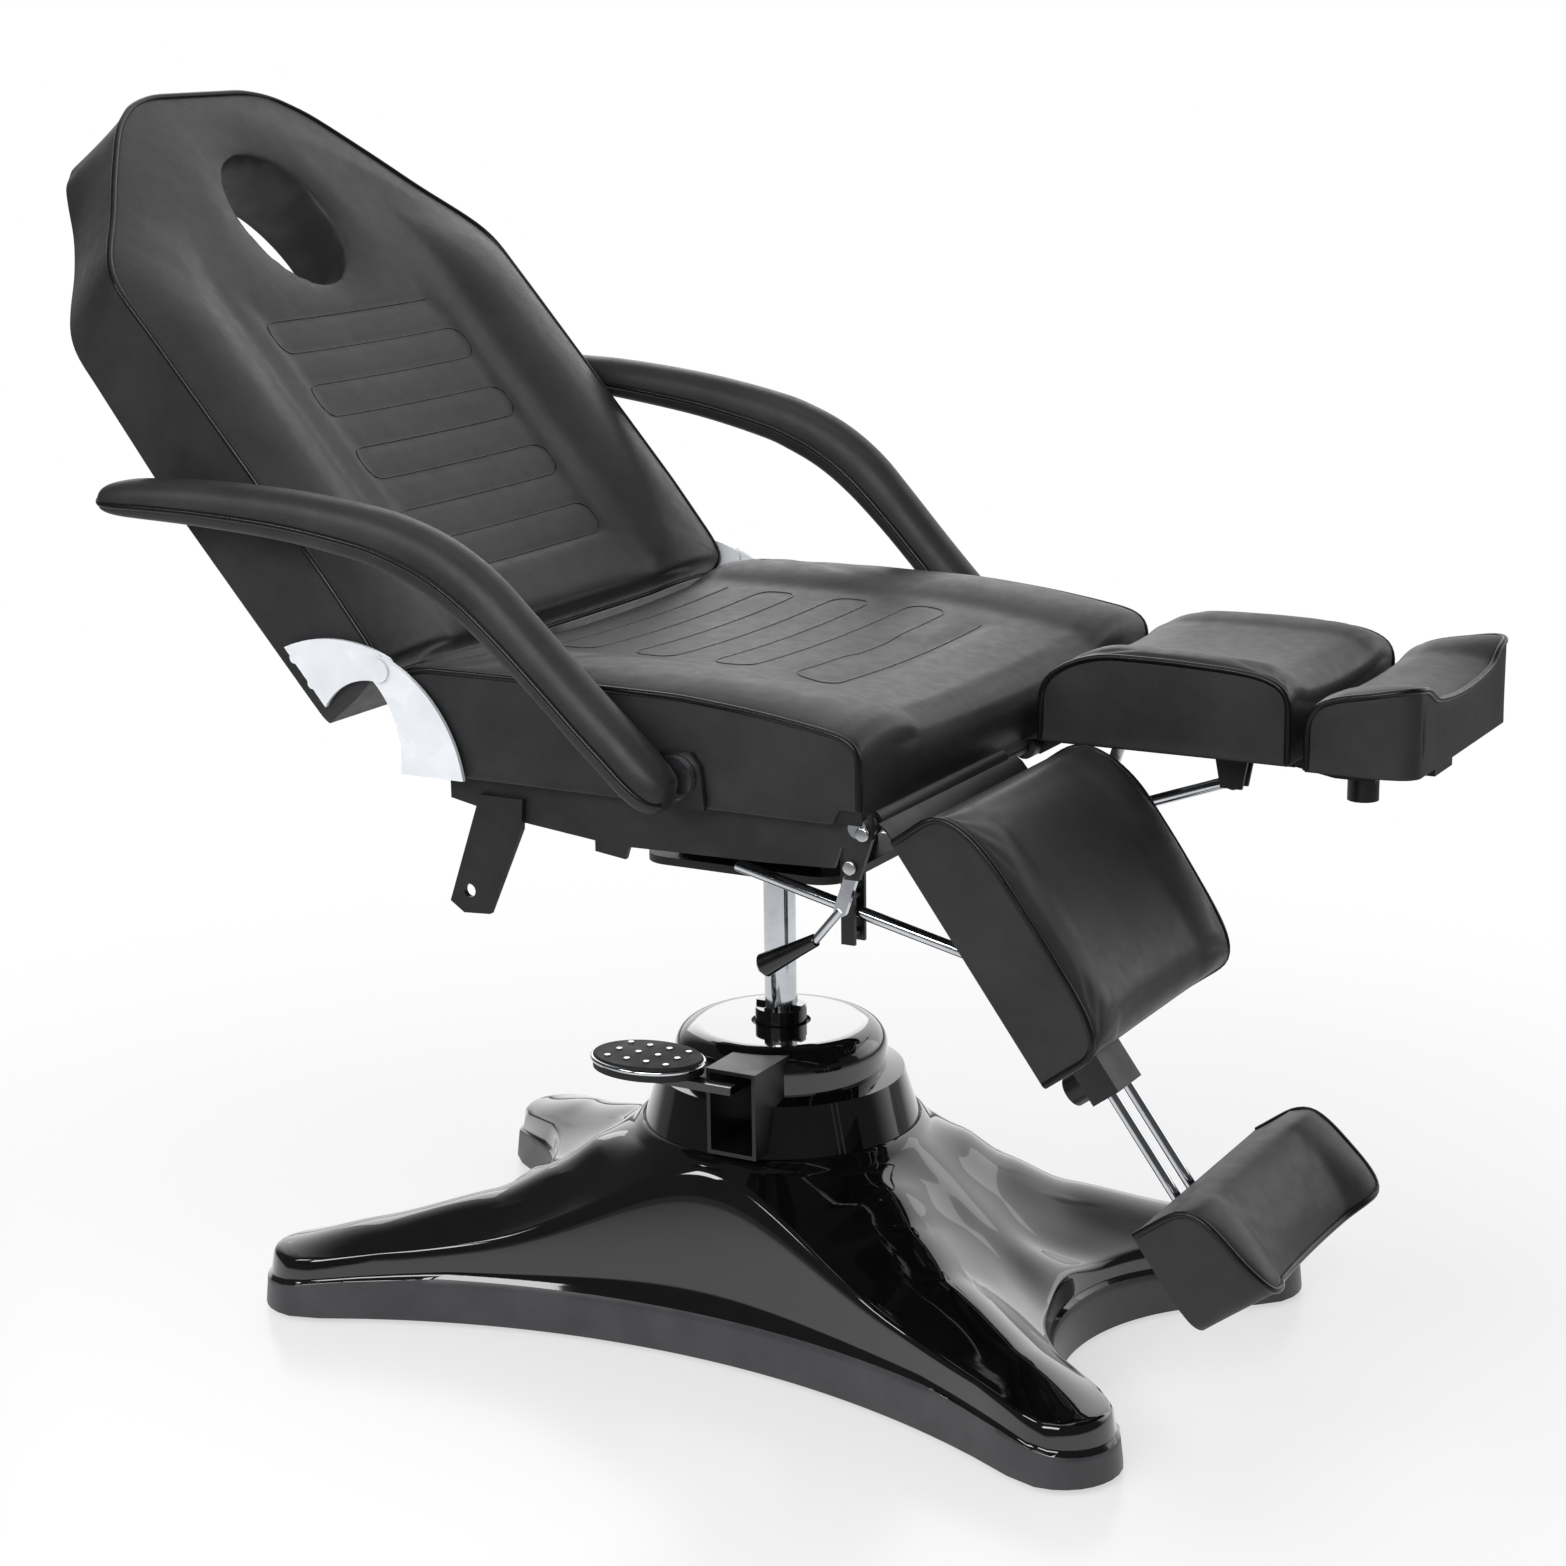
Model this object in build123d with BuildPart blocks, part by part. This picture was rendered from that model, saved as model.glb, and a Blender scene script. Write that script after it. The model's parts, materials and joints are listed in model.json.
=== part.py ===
from build123d import *
import math
import os

# Hydraulic tattoo and treatment chair: star base, foot pump, lift column, swivelling seat,
# reclining back with a face hole, two armrests, two leg rests and two sliding foot rests.
# X points to the sitter's feet, Y to the sitter's left, Z up. The origin is on the floor,
# on the axis of the lift column. Lengths are millimetres and angles are degrees.

os.makedirs("parts", exist_ok=True)

# Driving dimensions of the whole chair
seat_half_width = 320.0
seat_rear = -220.0
seat_front = 236.0
board_underside = 600.0
board_thickness = 14.0
board_inset = 3.0
back_angle = 48.9
back_thickness = 87.0
leg_length = 248.0
leg_inner = 6.0
leg_side_inset = 17.0
leg_thickness = 69.0
lowered_leg_angle = 53.9
foot_gap = 15.0
foot_length = 103.0
foot_travel = 130.0
base_tip_x = 413.0
base_tip_y = 232.0
base_tip_radius = 57.0
base_waist_x = 326.0
base_waist_y = 188.0
ram_radius = 16.0
armrest_width = 48.0

# Places shared by several pieces
back_origin_rise = 110.5
back_pivot_rise = 96.0
leg_axle_drop = 2.0
arm_pivot_rise = 29.0
lever_pivot_drop = 43.0
back_origin = (-245.3, board_underside + back_origin_rise)
back_pivot = (-236.0, board_underside + back_pivot_rise)
leg_pivot = (252.0, board_underside - leg_axle_drop)
leg_origin = (25.0, 83.0)
arm_pivot = (80.0, board_underside + arm_pivot_rise)
lever_pivot = (242.0, board_underside - lever_pivot_drop)
leg_outer = seat_half_width - leg_side_inset
foot_start = leg_length + foot_gap
foot_end = foot_start + foot_length
rod_pair_offset = 0.5
rod_pair_middle = (leg_inner + leg_outer) / 2 + rod_pair_offset
rod_pair_half = 17.0
rod_depth = -88.0
strut_pin = (141.0, -125.0)
back_strut_middle = 105.0
pump_pivot = (-75.0, 268.0)
pump_middle = 27.0

# Clearances and stock sizes shared by several pieces
running_fit = 0.05
plate_gap = 0.2
plate_room = 1.0
overrun = 2.0
plate = 6.0
board_half_width = seat_half_width - board_inset
rail_inset = 14.0
rail_plate = 5.0
rail_outer = board_half_width - rail_inset
rail_inner = rail_outer - rail_plate
bush_radius = 5.5
strut_radius = 6.0
pin_radius = 4.0

board_top = board_underside + board_thickness
sides = (("left", 1.0), ("right", -1.0))
corners = (("front_left", 1, 1), ("front_right", 1, -1), ("rear_left", -1, 1), ("rear_right", -1, -1))


class Datum:
    """A place and a slope in the chair's side view, with planes to sketch on."""

    def __init__(self, x, z, angle):
        self.x = x
        self.z = z
        self.cos = math.cos(math.radians(angle))
        self.sin = math.sin(math.radians(angle))

    def point(self, along, across, up):
        x = self.x + along * self.cos - up * self.sin
        z = self.z + along * self.sin + up * self.cos
        return Vector(x, across, z)

    def top(self, up):
        return Plane(self.point(0.0, 0.0, up), (self.cos, 0, self.sin), (-self.sin, 0, self.cos))

    def cross(self, along):
        return Plane(self.point(along, 0.0, 0.0), (0, 1, 0), (self.cos, 0, self.sin))

    def side(self, across):
        return Plane(self.point(0.0, across, 0.0), (self.cos, 0, self.sin), (0, -1, 0))


def finish(shape, label):
    shape.label = label
    export_step(shape, f"parts/{label}.step")


def leg_datum(lowered):
    """The leg rest's own frame when it has swung down by an angle about its axle."""
    swing = math.radians(lowered)
    x = leg_pivot[0] + leg_origin[0] * math.cos(swing) + leg_origin[1] * math.sin(swing)
    z = leg_pivot[1] - leg_origin[0] * math.sin(swing) + leg_origin[1] * math.cos(swing)
    return Datum(x, z, -lowered)


def far_face(sign, inner, outer):
    """Where a plate lying between two distances from the middle starts, to be extruded to -Y."""
    return outer if sign > 0 else -inner


def laid(sign, inner, outer, tops):
    """Limits and heights of a pad, mirrored for the right side."""
    return (inner, outer, tops) if sign > 0 else (-outer, -inner, tops[::-1])


# Shares of a pad's width where its bolsters crest and meet the middle panel
pad_shares = (0.0, 0.10, 0.20, 0.50, 0.80, 0.90, 1.0)


def pad_face(plane, low, high, bottom, tops, pull):
    """Section of a pad: flat bottom, drawn-in sides, two bolsters and a middle panel."""
    spots = [(low + (high - low) * share, top) for share, top in zip(pad_shares, tops)]
    with BuildSketch(plane) as face:
        with BuildLine():
            Line((low, bottom), (high, bottom))
            ThreePointArc((high, bottom), (high - pull, (bottom + tops[-1]) / 2), spots[6])
            ThreePointArc(spots[6], spots[5], spots[4])
            ThreePointArc(spots[4], spots[3], spots[2])
            ThreePointArc(spots[2], spots[1], spots[0])
            ThreePointArc(spots[0], (low + pull, (bottom + tops[0]) / 2), (low, bottom))
        make_face()
    return face.sketch


level = Datum(0.0, 0.0, 0.0)
back = Datum(back_origin[0], back_origin[1], -back_angle)

# Base cover, a pressed shell with four lobes
cover_lift = 6.0
cover_wall = 4.0
cover_top = 196.0
cover_draft_share = 0.165
neck_radius = 150.0
opening_radius = 146.0
roof_rim_height = 55.0
roof_rise = 135.0
roof_reach = 540.0
roof_steps = 6
ridge_radii = (120.0, 185.0, 226.0, 288.0, 411.0, 560.0)
ridge_heights = (186.0, 176.0, 148.0, 119.0, 90.0, 60.0)
ridge_half_widths = (70.0, 76.0, 74.0, 72.0, 70.0, 66.0)
ridge_drops = (10.0, 24.0, 30.0, 34.0, 26.0, 14.0)
tip_angle = math.degrees(math.atan2(base_tip_y, base_tip_x))
tip_reach = math.hypot(base_tip_x, base_tip_y)


def star_face(height, inset):
    """Footprint of the base at a height, four tip arcs joined by four tangent hollows."""
    lean = cover_draft_share * height + inset
    tip = base_tip_radius - lean
    cuts = []
    along_y = (base_waist_y, base_tip_y, base_tip_x)
    along_x = (base_waist_x, base_tip_x, base_tip_y)
    for waist, here, there in (along_y, along_x):
        rise = here - (waist - lean)
        hollow = (there**2 + rise**2 - tip**2) / (2 * (tip + rise))
        cuts.append((waist - lean + hollow, tip / (hollow + tip)))
    (middle_y, cut_y), (middle_x, cut_x) = cuts
    side_joint = (base_tip_x * (1 - cut_y), base_tip_y + (middle_y - base_tip_y) * cut_y)
    end_joint = (base_tip_x + (middle_x - base_tip_x) * cut_x, base_tip_y * (1 - cut_x))
    nose = (base_tip_x * (1 + tip / tip_reach), base_tip_y * (1 + tip / tip_reach))
    waist_y = base_waist_y - lean
    waist_x = base_waist_x - lean
    with BuildSketch(Plane.XY.offset(height)) as face:
        with BuildLine():
            for sx, sy in ((1, 1), (-1, 1), (-1, -1), (1, -1)):
                begin = (sx * side_joint[0], sy * side_joint[1])
                end = (sx * end_joint[0], sy * end_joint[1])
                ThreePointArc(begin, (sx * nose[0], sy * nose[1]), end)
            for sy in (1, -1):
                begin = (side_joint[0], sy * side_joint[1])
                ThreePointArc(begin, (0.0, sy * waist_y), (-side_joint[0], sy * side_joint[1]))
            for sx in (1, -1):
                begin = (sx * end_joint[0], end_joint[1])
                ThreePointArc(begin, (sx * waist_x, 0.0), (sx * end_joint[0], -end_joint[1]))
        make_face()
    return face.sketch


def roof_face(inset):
    """Half section of the tent-shaped roof, to be revolved about the column axis."""
    slope = []
    for step in range(roof_steps + 1):
        share = 1 - step / roof_steps
        radius = neck_radius + (roof_reach - neck_radius) * (1 - share)
        slope.append((radius - inset, roof_rim_height + roof_rise * share**3 - inset))
    with BuildSketch(Plane.XZ) as face:
        with BuildLine():
            Polyline((0.0, 0.0), (0.0, cover_top - inset), (neck_radius - inset, cover_top - inset), slope[0])
            Spline(slope)
            far = roof_reach + neck_radius
            Polyline(slope[-1], (far, slope[-1][1]), (far, 0.0), (0.0, 0.0))
        make_face()
    return face.sketch


def ridge_face(angle, radius, height, half, drop, inset):
    """Section of a rounded ridge that runs out to one tip of the base."""
    turn = math.radians(angle)
    run = Vector(math.cos(turn), math.sin(turn), 0)
    place = Plane(run * radius, (-math.sin(turn), math.cos(turn), 0), run)
    side = half - inset
    low = height - drop - inset
    with BuildSketch(place) as face:
        with BuildLine():
            Polyline((side, low), (side, 0.0), (-side, 0.0), (-side, low))
            ThreePointArc((-side, low), (0.0, height - inset), (side, low))
        make_face()
    return face.sketch


def cover_solid(inset):
    """The cover's outside, or its inside when inset by the wall."""
    with BuildPart() as solid:
        revolve(roof_face(inset), axis=Axis.Z)
        for angle in (tip_angle, 180 - tip_angle, 180 + tip_angle, -tip_angle):
            rows = zip(ridge_radii, ridge_heights, ridge_half_widths, ridge_drops)
            loft([ridge_face(angle, *row, inset) for row in rows], ruled=True)
        loft([star_face(0.0, inset), star_face(cover_top + overrun, inset)], ruled=True, mode=Mode.INTERSECT)
    return solid.part


frame_bottom = 12.0
frame_thickness = 8.0
frame_top = frame_bottom + frame_thickness
boss_radius = 11.0
boss_reach = 330.0

with BuildPart() as base_cover:
    add(cover_solid(0.0))
    add(cover_solid(cover_wall), mode=Mode.SUBTRACT)
    with BuildSketch(Plane.XY):
        Circle(opening_radius)
    extrude(amount=cover_top + overrun, mode=Mode.SUBTRACT)
    with BuildSketch(Plane.XY.offset(frame_top)):
        for name, sx, sy in corners:
            boss_share = boss_reach / tip_reach
            with Locations((sx * base_tip_x * boss_share, sy * base_tip_y * boss_share)):
                Circle(boss_radius)
    extrude(amount=neck_radius)
    add(cover_solid(0.0), mode=Mode.INTERSECT)
    with BuildSketch(Plane.XY):
        Rectangle(4 * base_tip_x, 4 * base_tip_x)
    extrude(amount=cover_lift, mode=Mode.SUBTRACT)
finish(base_cover.part, "base_cover")

# Steel cross inside the cover and its levelling feet
arm_width = 60.0
hub_radius = 95.0
pad_radius = 34.0
foot_radius = 21.0
foot_thickness = 12.0
stud_radius = 5.0
stud_top = 34.0

with BuildPart() as base_frame:
    with BuildSketch(Plane.XY.offset(frame_bottom)):
        Circle(hub_radius)
        for angle in (tip_angle, -tip_angle):
            with Locations(Rotation(0, 0, angle)):
                Rectangle(2 * tip_reach, arm_width)
        for name, sx, sy in corners:
            with Locations((sx * base_tip_x, sy * base_tip_y)):
                Circle(pad_radius)
        for name, sx, sy in corners:
            with Locations((sx * base_tip_x, sy * base_tip_y)):
                Circle(stud_radius + running_fit, mode=Mode.SUBTRACT)
    extrude(amount=frame_thickness)
finish(base_frame.part, "base_frame")

for name, sx, sy in corners:
    with BuildPart() as levelling_foot:
        with BuildSketch(Plane.XY):
            with Locations((sx * base_tip_x, sy * base_tip_y)):
                Circle(foot_radius)
        extrude(amount=foot_thickness)
        with BuildSketch(Plane.XY.offset(foot_thickness)):
            with Locations((sx * base_tip_x, sy * base_tip_y)):
                Circle(stud_radius)
        extrude(amount=stud_top - foot_thickness)
    finish(levelling_foot.part, f"levelling_foot_{name}")

# Pump cylinder, gland and ram
cylinder_radius = 45.0
cylinder_top = 294.0
bore_floor = 28.0
gland_radius = 26.0
gland_top = 312.0
lug_width = 10.0
lug_height = 4.0
ram_bottom = 150.0
ram_top_drop = 134.4
ram_top = board_underside - ram_top_drop

with BuildPart() as pump_cylinder:
    with BuildSketch(Plane.XY.offset(frame_top)):
        Circle(cylinder_radius)
    extrude(amount=cylinder_top - frame_top)
    with BuildSketch(Plane.XY.offset(bore_floor)):
        Circle(ram_radius + running_fit)
    extrude(amount=cylinder_top, mode=Mode.SUBTRACT)
finish(pump_cylinder.part, "pump_cylinder")

with BuildPart() as column_gland:
    with BuildSketch(Plane.XY.offset(cylinder_top)):
        Circle(gland_radius)
    extrude(amount=gland_top - cylinder_top)
    with BuildSketch(Plane.XY.offset(gland_top)):
        with PolarLocations(gland_radius - lug_width / 2, 4):
            Rectangle(lug_width, lug_width)
        Circle(gland_radius, mode=Mode.INTERSECT)
    extrude(amount=lug_height)
    with BuildSketch(Plane.XY.offset(cylinder_top)):
        Circle(ram_radius + running_fit)
    extrude(amount=gland_top, mode=Mode.SUBTRACT)
finish(column_gland.part, "column_gland")

with BuildPart() as lift_column:
    with BuildSketch(Plane.XY.offset(ram_bottom)):
        Circle(ram_radius)
    extrude(amount=ram_top - ram_bottom)
finish(lift_column.part, "lift_column")

# Two-tier shroud over the pump, with a window for the pedal
shroud_wall = 3.0
shroud_hole = 30.0
shroud_lower = ((143.0, 186.0), (124.0, 248.0))
shroud_step = (107.0, 252.0)
shroud_upper = ((107.0, 272.0), (99.7, 289.7), (82.0, 297.0))
guard_left = 0.0
guard_right = 54.0
guard_bottom = 205.0
guard_top = 292.0
guard_front = -150.0
guard_back = -58.0
guard_wall = 4.0
guard_rise = 8.0


def shroud_face(inset):
    with BuildSketch(Plane.XZ) as face:
        with BuildLine():
            low, high = [(point[0] - inset, point[1]) for point in shroud_lower]
            high = (high[0], high[1] - inset)
            step = (shroud_step[0] - inset, shroud_step[1] - inset)
            first, middle, last = [(point[0] - inset, point[1]) for point in shroud_upper]
            middle = (middle[0], middle[1] - inset / 2)
            last = (last[0], last[1] - inset)
            Polyline((0.0, low[1]), low, high, step, first)
            ThreePointArc(first, middle, last)
            Polyline(last, (0.0, last[1]), (0.0, low[1]))
        make_face()
    return face.sketch


with BuildPart() as pump_shroud:
    revolve(shroud_face(0.0), axis=Axis.Z)
    revolve(shroud_face(shroud_wall), axis=Axis.Z, mode=Mode.SUBTRACT)
    with BuildSketch(Plane.XY):
        Circle(shroud_hole)
    extrude(amount=cylinder_top + shroud_hole, mode=Mode.SUBTRACT)
    with BuildSketch(Plane.XZ.offset(-guard_back)):
        with Locations(((guard_left + guard_right) / 2, (guard_bottom + guard_top) / 2)):
            Rectangle(guard_right - guard_left, guard_top - guard_bottom)
    extrude(amount=opening_radius, mode=Mode.SUBTRACT)
finish(pump_shroud.part, "pump_shroud")

with BuildPart() as slot_guard:
    with BuildSketch(Plane.XZ.offset(-guard_back)):
        with Locations(((guard_left + guard_right) / 2, (guard_bottom + guard_top) / 2)):
            Rectangle(guard_right - guard_left, guard_top - guard_bottom)
            inside = (guard_right - guard_left - 2 * guard_wall, guard_top - guard_bottom - 2 * guard_wall)
            Rectangle(*inside, mode=Mode.SUBTRACT)
    extrude(amount=guard_back - guard_front)
    with BuildSketch(Plane.YZ.offset(guard_left)):
        with Locations(pump_pivot):
            Circle(pin_radius + running_fit)
    extrude(amount=guard_right, mode=Mode.SUBTRACT)
finish(slot_guard.part, "slot_guard")

# Foot pedal
pedal_hub_radius = 9.0
pedal_hub_half = 15.0
pedal_arm_top = 284.0
pedal_arm_thickness = 8.0
pedal_arm_reach = -172.0
pedal_arm_half = 12.0
pedal_link_front = -156.0
pedal_link_left = -70.0
tread_middle = (-62.0, -155.0)
tread_radii = (58.0, 42.5)
tread_thickness = 14.0
tread_soft_edge = 3.0
stud_size = 3.0
stud_spacing = 22.0
stud_raise = 1.2

with BuildPart() as pedal_lever:
    with BuildSketch(Plane.YZ.offset(pump_middle - pedal_hub_half)):
        with Locations(pump_pivot):
            Circle(pedal_hub_radius)
    extrude(amount=2 * pedal_hub_half)
    with BuildSketch(Plane.XY.offset(pedal_arm_top - pedal_arm_thickness)):
        with BuildLine():
            Polyline(
                (pump_middle - pedal_arm_half, pump_pivot[0]),
                (pump_middle + pedal_arm_half, pump_pivot[0]),
                (pump_middle + pedal_arm_half, pedal_arm_reach),
                (pedal_link_left, pedal_arm_reach),
                (pedal_link_left, pedal_link_front),
                (pump_middle - pedal_arm_half, pedal_link_front),
                close=True,
            )
        make_face()
    extrude(amount=pedal_arm_thickness)
    with BuildSketch(Plane.YZ.offset(pump_middle - pedal_arm_half)):
        with Locations((pump_pivot[0], (pump_pivot[1] + pedal_arm_top) / 2)):
            Rectangle(2 * pedal_hub_radius, pedal_arm_top - pump_pivot[1])
    extrude(amount=2 * pedal_arm_half)
    with BuildSketch(Plane.YZ.offset(guard_left)):
        with Locations(pump_pivot):
            Circle(pin_radius)
    extrude(amount=guard_right)
finish(pedal_lever.part, "pedal_lever")

with BuildPart() as pedal_tread:
    with BuildSketch(Plane.XY.offset(pedal_arm_top)):
        with Locations(tread_middle):
            Ellipse(*tread_radii)
    extrude(amount=tread_thickness)
    fillet(pedal_tread.faces().sort_by(Axis.Z)[-1].edges(), radius=tread_soft_edge)
    with BuildSketch(Plane.XY.offset(pedal_arm_top + tread_thickness)):
        with Locations(tread_middle):
            with GridLocations(stud_spacing, stud_spacing, 4, 3):
                Circle(stud_size)
    extrude(amount=stud_raise)
finish(pedal_tread.part, "pedal_tread")

# Swivel head and the carrier that lifts the seat off it
head_radius = 30.0
head_hub_height = 20.0
head_socket_depth = 16.0
head_plate_drop = 130.0
head_plate_bottom = board_underside - head_plate_drop
head_bottom = head_plate_bottom - head_hub_height
head_socket = head_bottom + head_socket_depth
head_plate_length = 220.0
head_plate_width = 176.0
head_plate_thickness = 8.0
riser_length = 160.0
riser_width = 120.0
riser_wall = 5.0
carrier_plate_length = 220.0
carrier_plate_width = 130.0
beam_height = 30.0
carrier_top = board_underside - beam_height
beam_depth = 40.0
beam_wall = 3.0

with BuildPart() as swivel_head:
    with BuildSketch(Plane.XY.offset(head_bottom)):
        Circle(head_radius)
    extrude(amount=head_plate_bottom - head_bottom)
    with BuildSketch(Plane.XY.offset(head_plate_bottom)):
        RectangleRounded(head_plate_length, head_plate_width, head_radius)
    extrude(amount=head_plate_thickness)
    with BuildSketch(Plane.XY.offset(head_bottom)):
        Circle(ram_radius + running_fit)
    extrude(amount=head_socket - head_bottom, mode=Mode.SUBTRACT)
finish(swivel_head.part, "swivel_head")

riser_bottom = head_plate_bottom + head_plate_thickness

with BuildPart() as seat_carrier:
    with BuildSketch(Plane.XY.offset(riser_bottom)):
        Rectangle(riser_length, riser_width)
        Rectangle(riser_length - 2 * riser_wall, riser_width - 2 * riser_wall, mode=Mode.SUBTRACT)
    extrude(amount=carrier_top - riser_bottom - plate)
    with BuildSketch(Plane.XY.offset(carrier_top - plate)):
        Rectangle(carrier_plate_length, carrier_plate_width)
    extrude(amount=plate)
finish(seat_carrier.part, "seat_carrier")

# Three cross beams; two of them carry the forks that guide the struts
beam_places = (("rear", -65.0), ("middle", 90.0), ("front", 165.0))
fork_cheek_gap = 8.0
fork_cheek = 4.0
fork_half = 7.0
fork_pin_radius = 4.0
back_fork_drop = 88.3
back_fork_height = board_underside - back_fork_drop
back_fork_room = 26.0
leg_fork_drop = 131.2
leg_fork_height = board_underside - leg_fork_drop
leg_fork_room = 18.5
beam_forks = {
    "rear": (),
    "middle": ((back_strut_middle, back_fork_height, back_fork_room),),
    "front": (
        (rod_pair_middle, leg_fork_height, leg_fork_room),
        (-rod_pair_middle, leg_fork_height, leg_fork_room),
    ),
}

for name, place in beam_places:
    with BuildPart() as beam:
        with BuildSketch(Plane.XZ.offset(-rail_inner)):
            with Locations((place, carrier_top + beam_height / 2)):
                Rectangle(beam_depth, beam_height)
                Rectangle(beam_depth - 2 * beam_wall, beam_height - 2 * beam_wall, mode=Mode.SUBTRACT)
        extrude(amount=2 * rail_inner)
        for middle, height, room in beam_forks[name]:
            bottom = height - room - 2 * fork_pin_radius
            for sign in (1, -1):
                outer = fork_cheek_gap + fork_cheek
                with BuildSketch(level.side(middle + far_face(sign, fork_cheek_gap, outer))):
                    with Locations((place, (bottom + carrier_top) / 2)):
                        Rectangle(2 * fork_half, carrier_top - bottom)
                extrude(amount=fork_cheek)
            with BuildSketch(level.side(middle + fork_cheek_gap)):
                with Locations((place, height + room), (place, height - room)):
                    Circle(fork_pin_radius)
            extrude(amount=2 * fork_cheek_gap)
    finish(beam.part, f"beam_{name}")

# Side rails of the seat frame, each with the rear bracket and its hole
rail_outline = [
    (x, board_underside + rise)
    for x, rise in (
        (-179.0, 0.0),
        (-179.0, -24.0),
        (-100.0, -39.0),
        (-22.0, -47.0),
        (-22.0, -57.0),
        (10.0, -61.0),
        (14.0, -49.0),
        (158.0, -46.0),
        (224.0, -43.0),
        (230.0, -24.0),
        (246.0, -14.0),
        (250.0, 0.0),
    )
]
rail_nose_radius = 12.5
rear_bracket_outline = [
    (x, board_underside + rise)
    for x, rise in (
        (-143.0, -16.0),
        (-96.0, -16.0),
        (-98.0, -45.0),
        (-136.0, -130.0),
        (-165.0, -132.0),
        (-180.0, -122.0),
    )
]
rear_hole_drop = 110.0
rear_bracket_hole = (-158.0, board_underside - rear_hole_drop)
rear_hole_radius = 6.5
bracket_outer = rail_outer + plate
axle_radius = 6.0

for name, sign in sides:
    with BuildPart() as seat_rail:
        with BuildSketch(level.side(far_face(sign, rail_inner, rail_outer))):
            with BuildLine():
                Polyline(*rail_outline, close=True)
            make_face()
            with Locations(leg_pivot):
                Circle(rail_nose_radius)
                Circle(axle_radius + running_fit, mode=Mode.SUBTRACT)
        extrude(amount=rail_outer - rail_inner)
        with BuildSketch(level.side(far_face(sign, rail_outer, bracket_outer))):
            with BuildLine():
                Polyline(*rear_bracket_outline, close=True)
            make_face()
            with Locations(rear_bracket_hole):
                Circle(rear_hole_radius, mode=Mode.SUBTRACT)
        extrude(amount=bracket_outer - rail_outer)
    finish(seat_rail.part, f"seat_rail_{name}")

# Corner brackets that hold the release levers
corner_outline = [
    (x, board_underside + rise)
    for x, rise in (
        (236.5, -4.0),
        (237.0, -50.0),
        (251.0, -50.0),
        (264.0, -12.0),
        (264.0, 10.0),
        (238.0, 10.0),
    )
]
lever_pin_radius = 3.0

for name, sign in sides:
    with BuildPart() as corner_bracket:
        with BuildSketch(level.side(far_face(sign, rail_outer, bracket_outer))):
            with BuildLine():
                Polyline(*corner_outline, close=True)
            make_face()
            with Locations(leg_pivot):
                Circle(axle_radius + running_fit, mode=Mode.SUBTRACT)
            with Locations(lever_pivot):
                Circle(lever_pin_radius + running_fit, mode=Mode.SUBTRACT)
        extrude(amount=bracket_outer - rail_outer)
    finish(corner_bracket.part, f"corner_bracket_{name}")

axle_head_radius = 9.0
axle_head = 4.0

with BuildPart() as front_axle:
    with BuildSketch(level.side(bracket_outer + axle_head)):
        with Locations(leg_pivot):
            Circle(axle_head_radius)
    extrude(amount=axle_head)
    with BuildSketch(level.side(bracket_outer)):
        with Locations(leg_pivot):
            Circle(axle_radius)
    extrude(amount=2 * bracket_outer)
    with BuildSketch(level.side(-bracket_outer)):
        with Locations(leg_pivot):
            Circle(axle_head_radius)
    extrude(amount=axle_head)
finish(front_axle.part, "front_axle")

# Seat board and cushion
board_rear = -214.0
board_corner = 20.0
seat_pull = 2.0
seat_stations = (
    (-220.0, 80.0, 86.0, 77.0, 74.0),
    (-217.0, 92.0, 99.0, 89.0, 85.0),
    (-208.0, 99.0, 108.0, 96.0, 90.0),
    (-60.0, 100.0, 110.0, 96.0, 90.0),
    (80.0, 99.0, 109.0, 95.0, 89.0),
    (148.0, 93.0, 103.0, 88.0, 82.0),
    (201.0, 86.0, 96.0, 81.0, 75.0),
    (230.0, 81.0, 90.0, 75.0, 69.0),
    (250.0, 69.0, 76.0, 62.0, 56.0),
    (258.0, 48.0, 53.0, 43.0, 38.0),
)

with BuildPart() as seat_board:
    with BuildSketch(Plane.XY.offset(board_underside)):
        with Locations(((board_rear + seat_front) / 2, 0.0)):
            RectangleRounded(seat_front - board_rear, 2 * board_half_width, board_corner)
    extrude(amount=board_thickness)
finish(seat_board.part, "seat_board")

with BuildPart() as seat_cushion:
    sections = []
    for place, *rises in seat_stations:
        edge, crest, valley, middle = (board_underside + rise for rise in rises)
        tops = (edge, crest, valley, middle, valley, crest, edge)
        width = (-seat_half_width, seat_half_width)
        sections.append(pad_face(level.cross(place), *width, board_top, tops, seat_pull))
    loft(sections=sections, ruled=True)
finish(seat_cushion.part, "seat_cushion")

# Hinge plates on the seat, arcs that reach up to the backrest pivot
hinge_thickness = 4.0
back_plate_inner = seat_half_width + plate_room
back_plate_outer = back_plate_inner + hinge_thickness
hinge_plate_inner = back_plate_outer + plate_gap
hinge_plate_outer = hinge_plate_inner + hinge_thickness
hinge_arc = [(x, board_underside + rise) for x, rise in ((-147.0, 0.0), (-174.0, 64.6), (-228.4, 107.2))]
hinge_top = [(x, board_underside + rise) for x, rise in ((-241.5, 108.5), (-249.0, 100.0))]
hinge_inner = [(x, board_underside + rise) for x, rise in ((-244.0, 85.5), (-223.0, 55.0), (-216.0, 0.0))]
hinge_bushes = [(x, board_underside + rise) for x, rise in ((-200.0, 7.0), (-165.0, 7.0))]
pin_head_radius = 11.0
pin_head = 3.0

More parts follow.
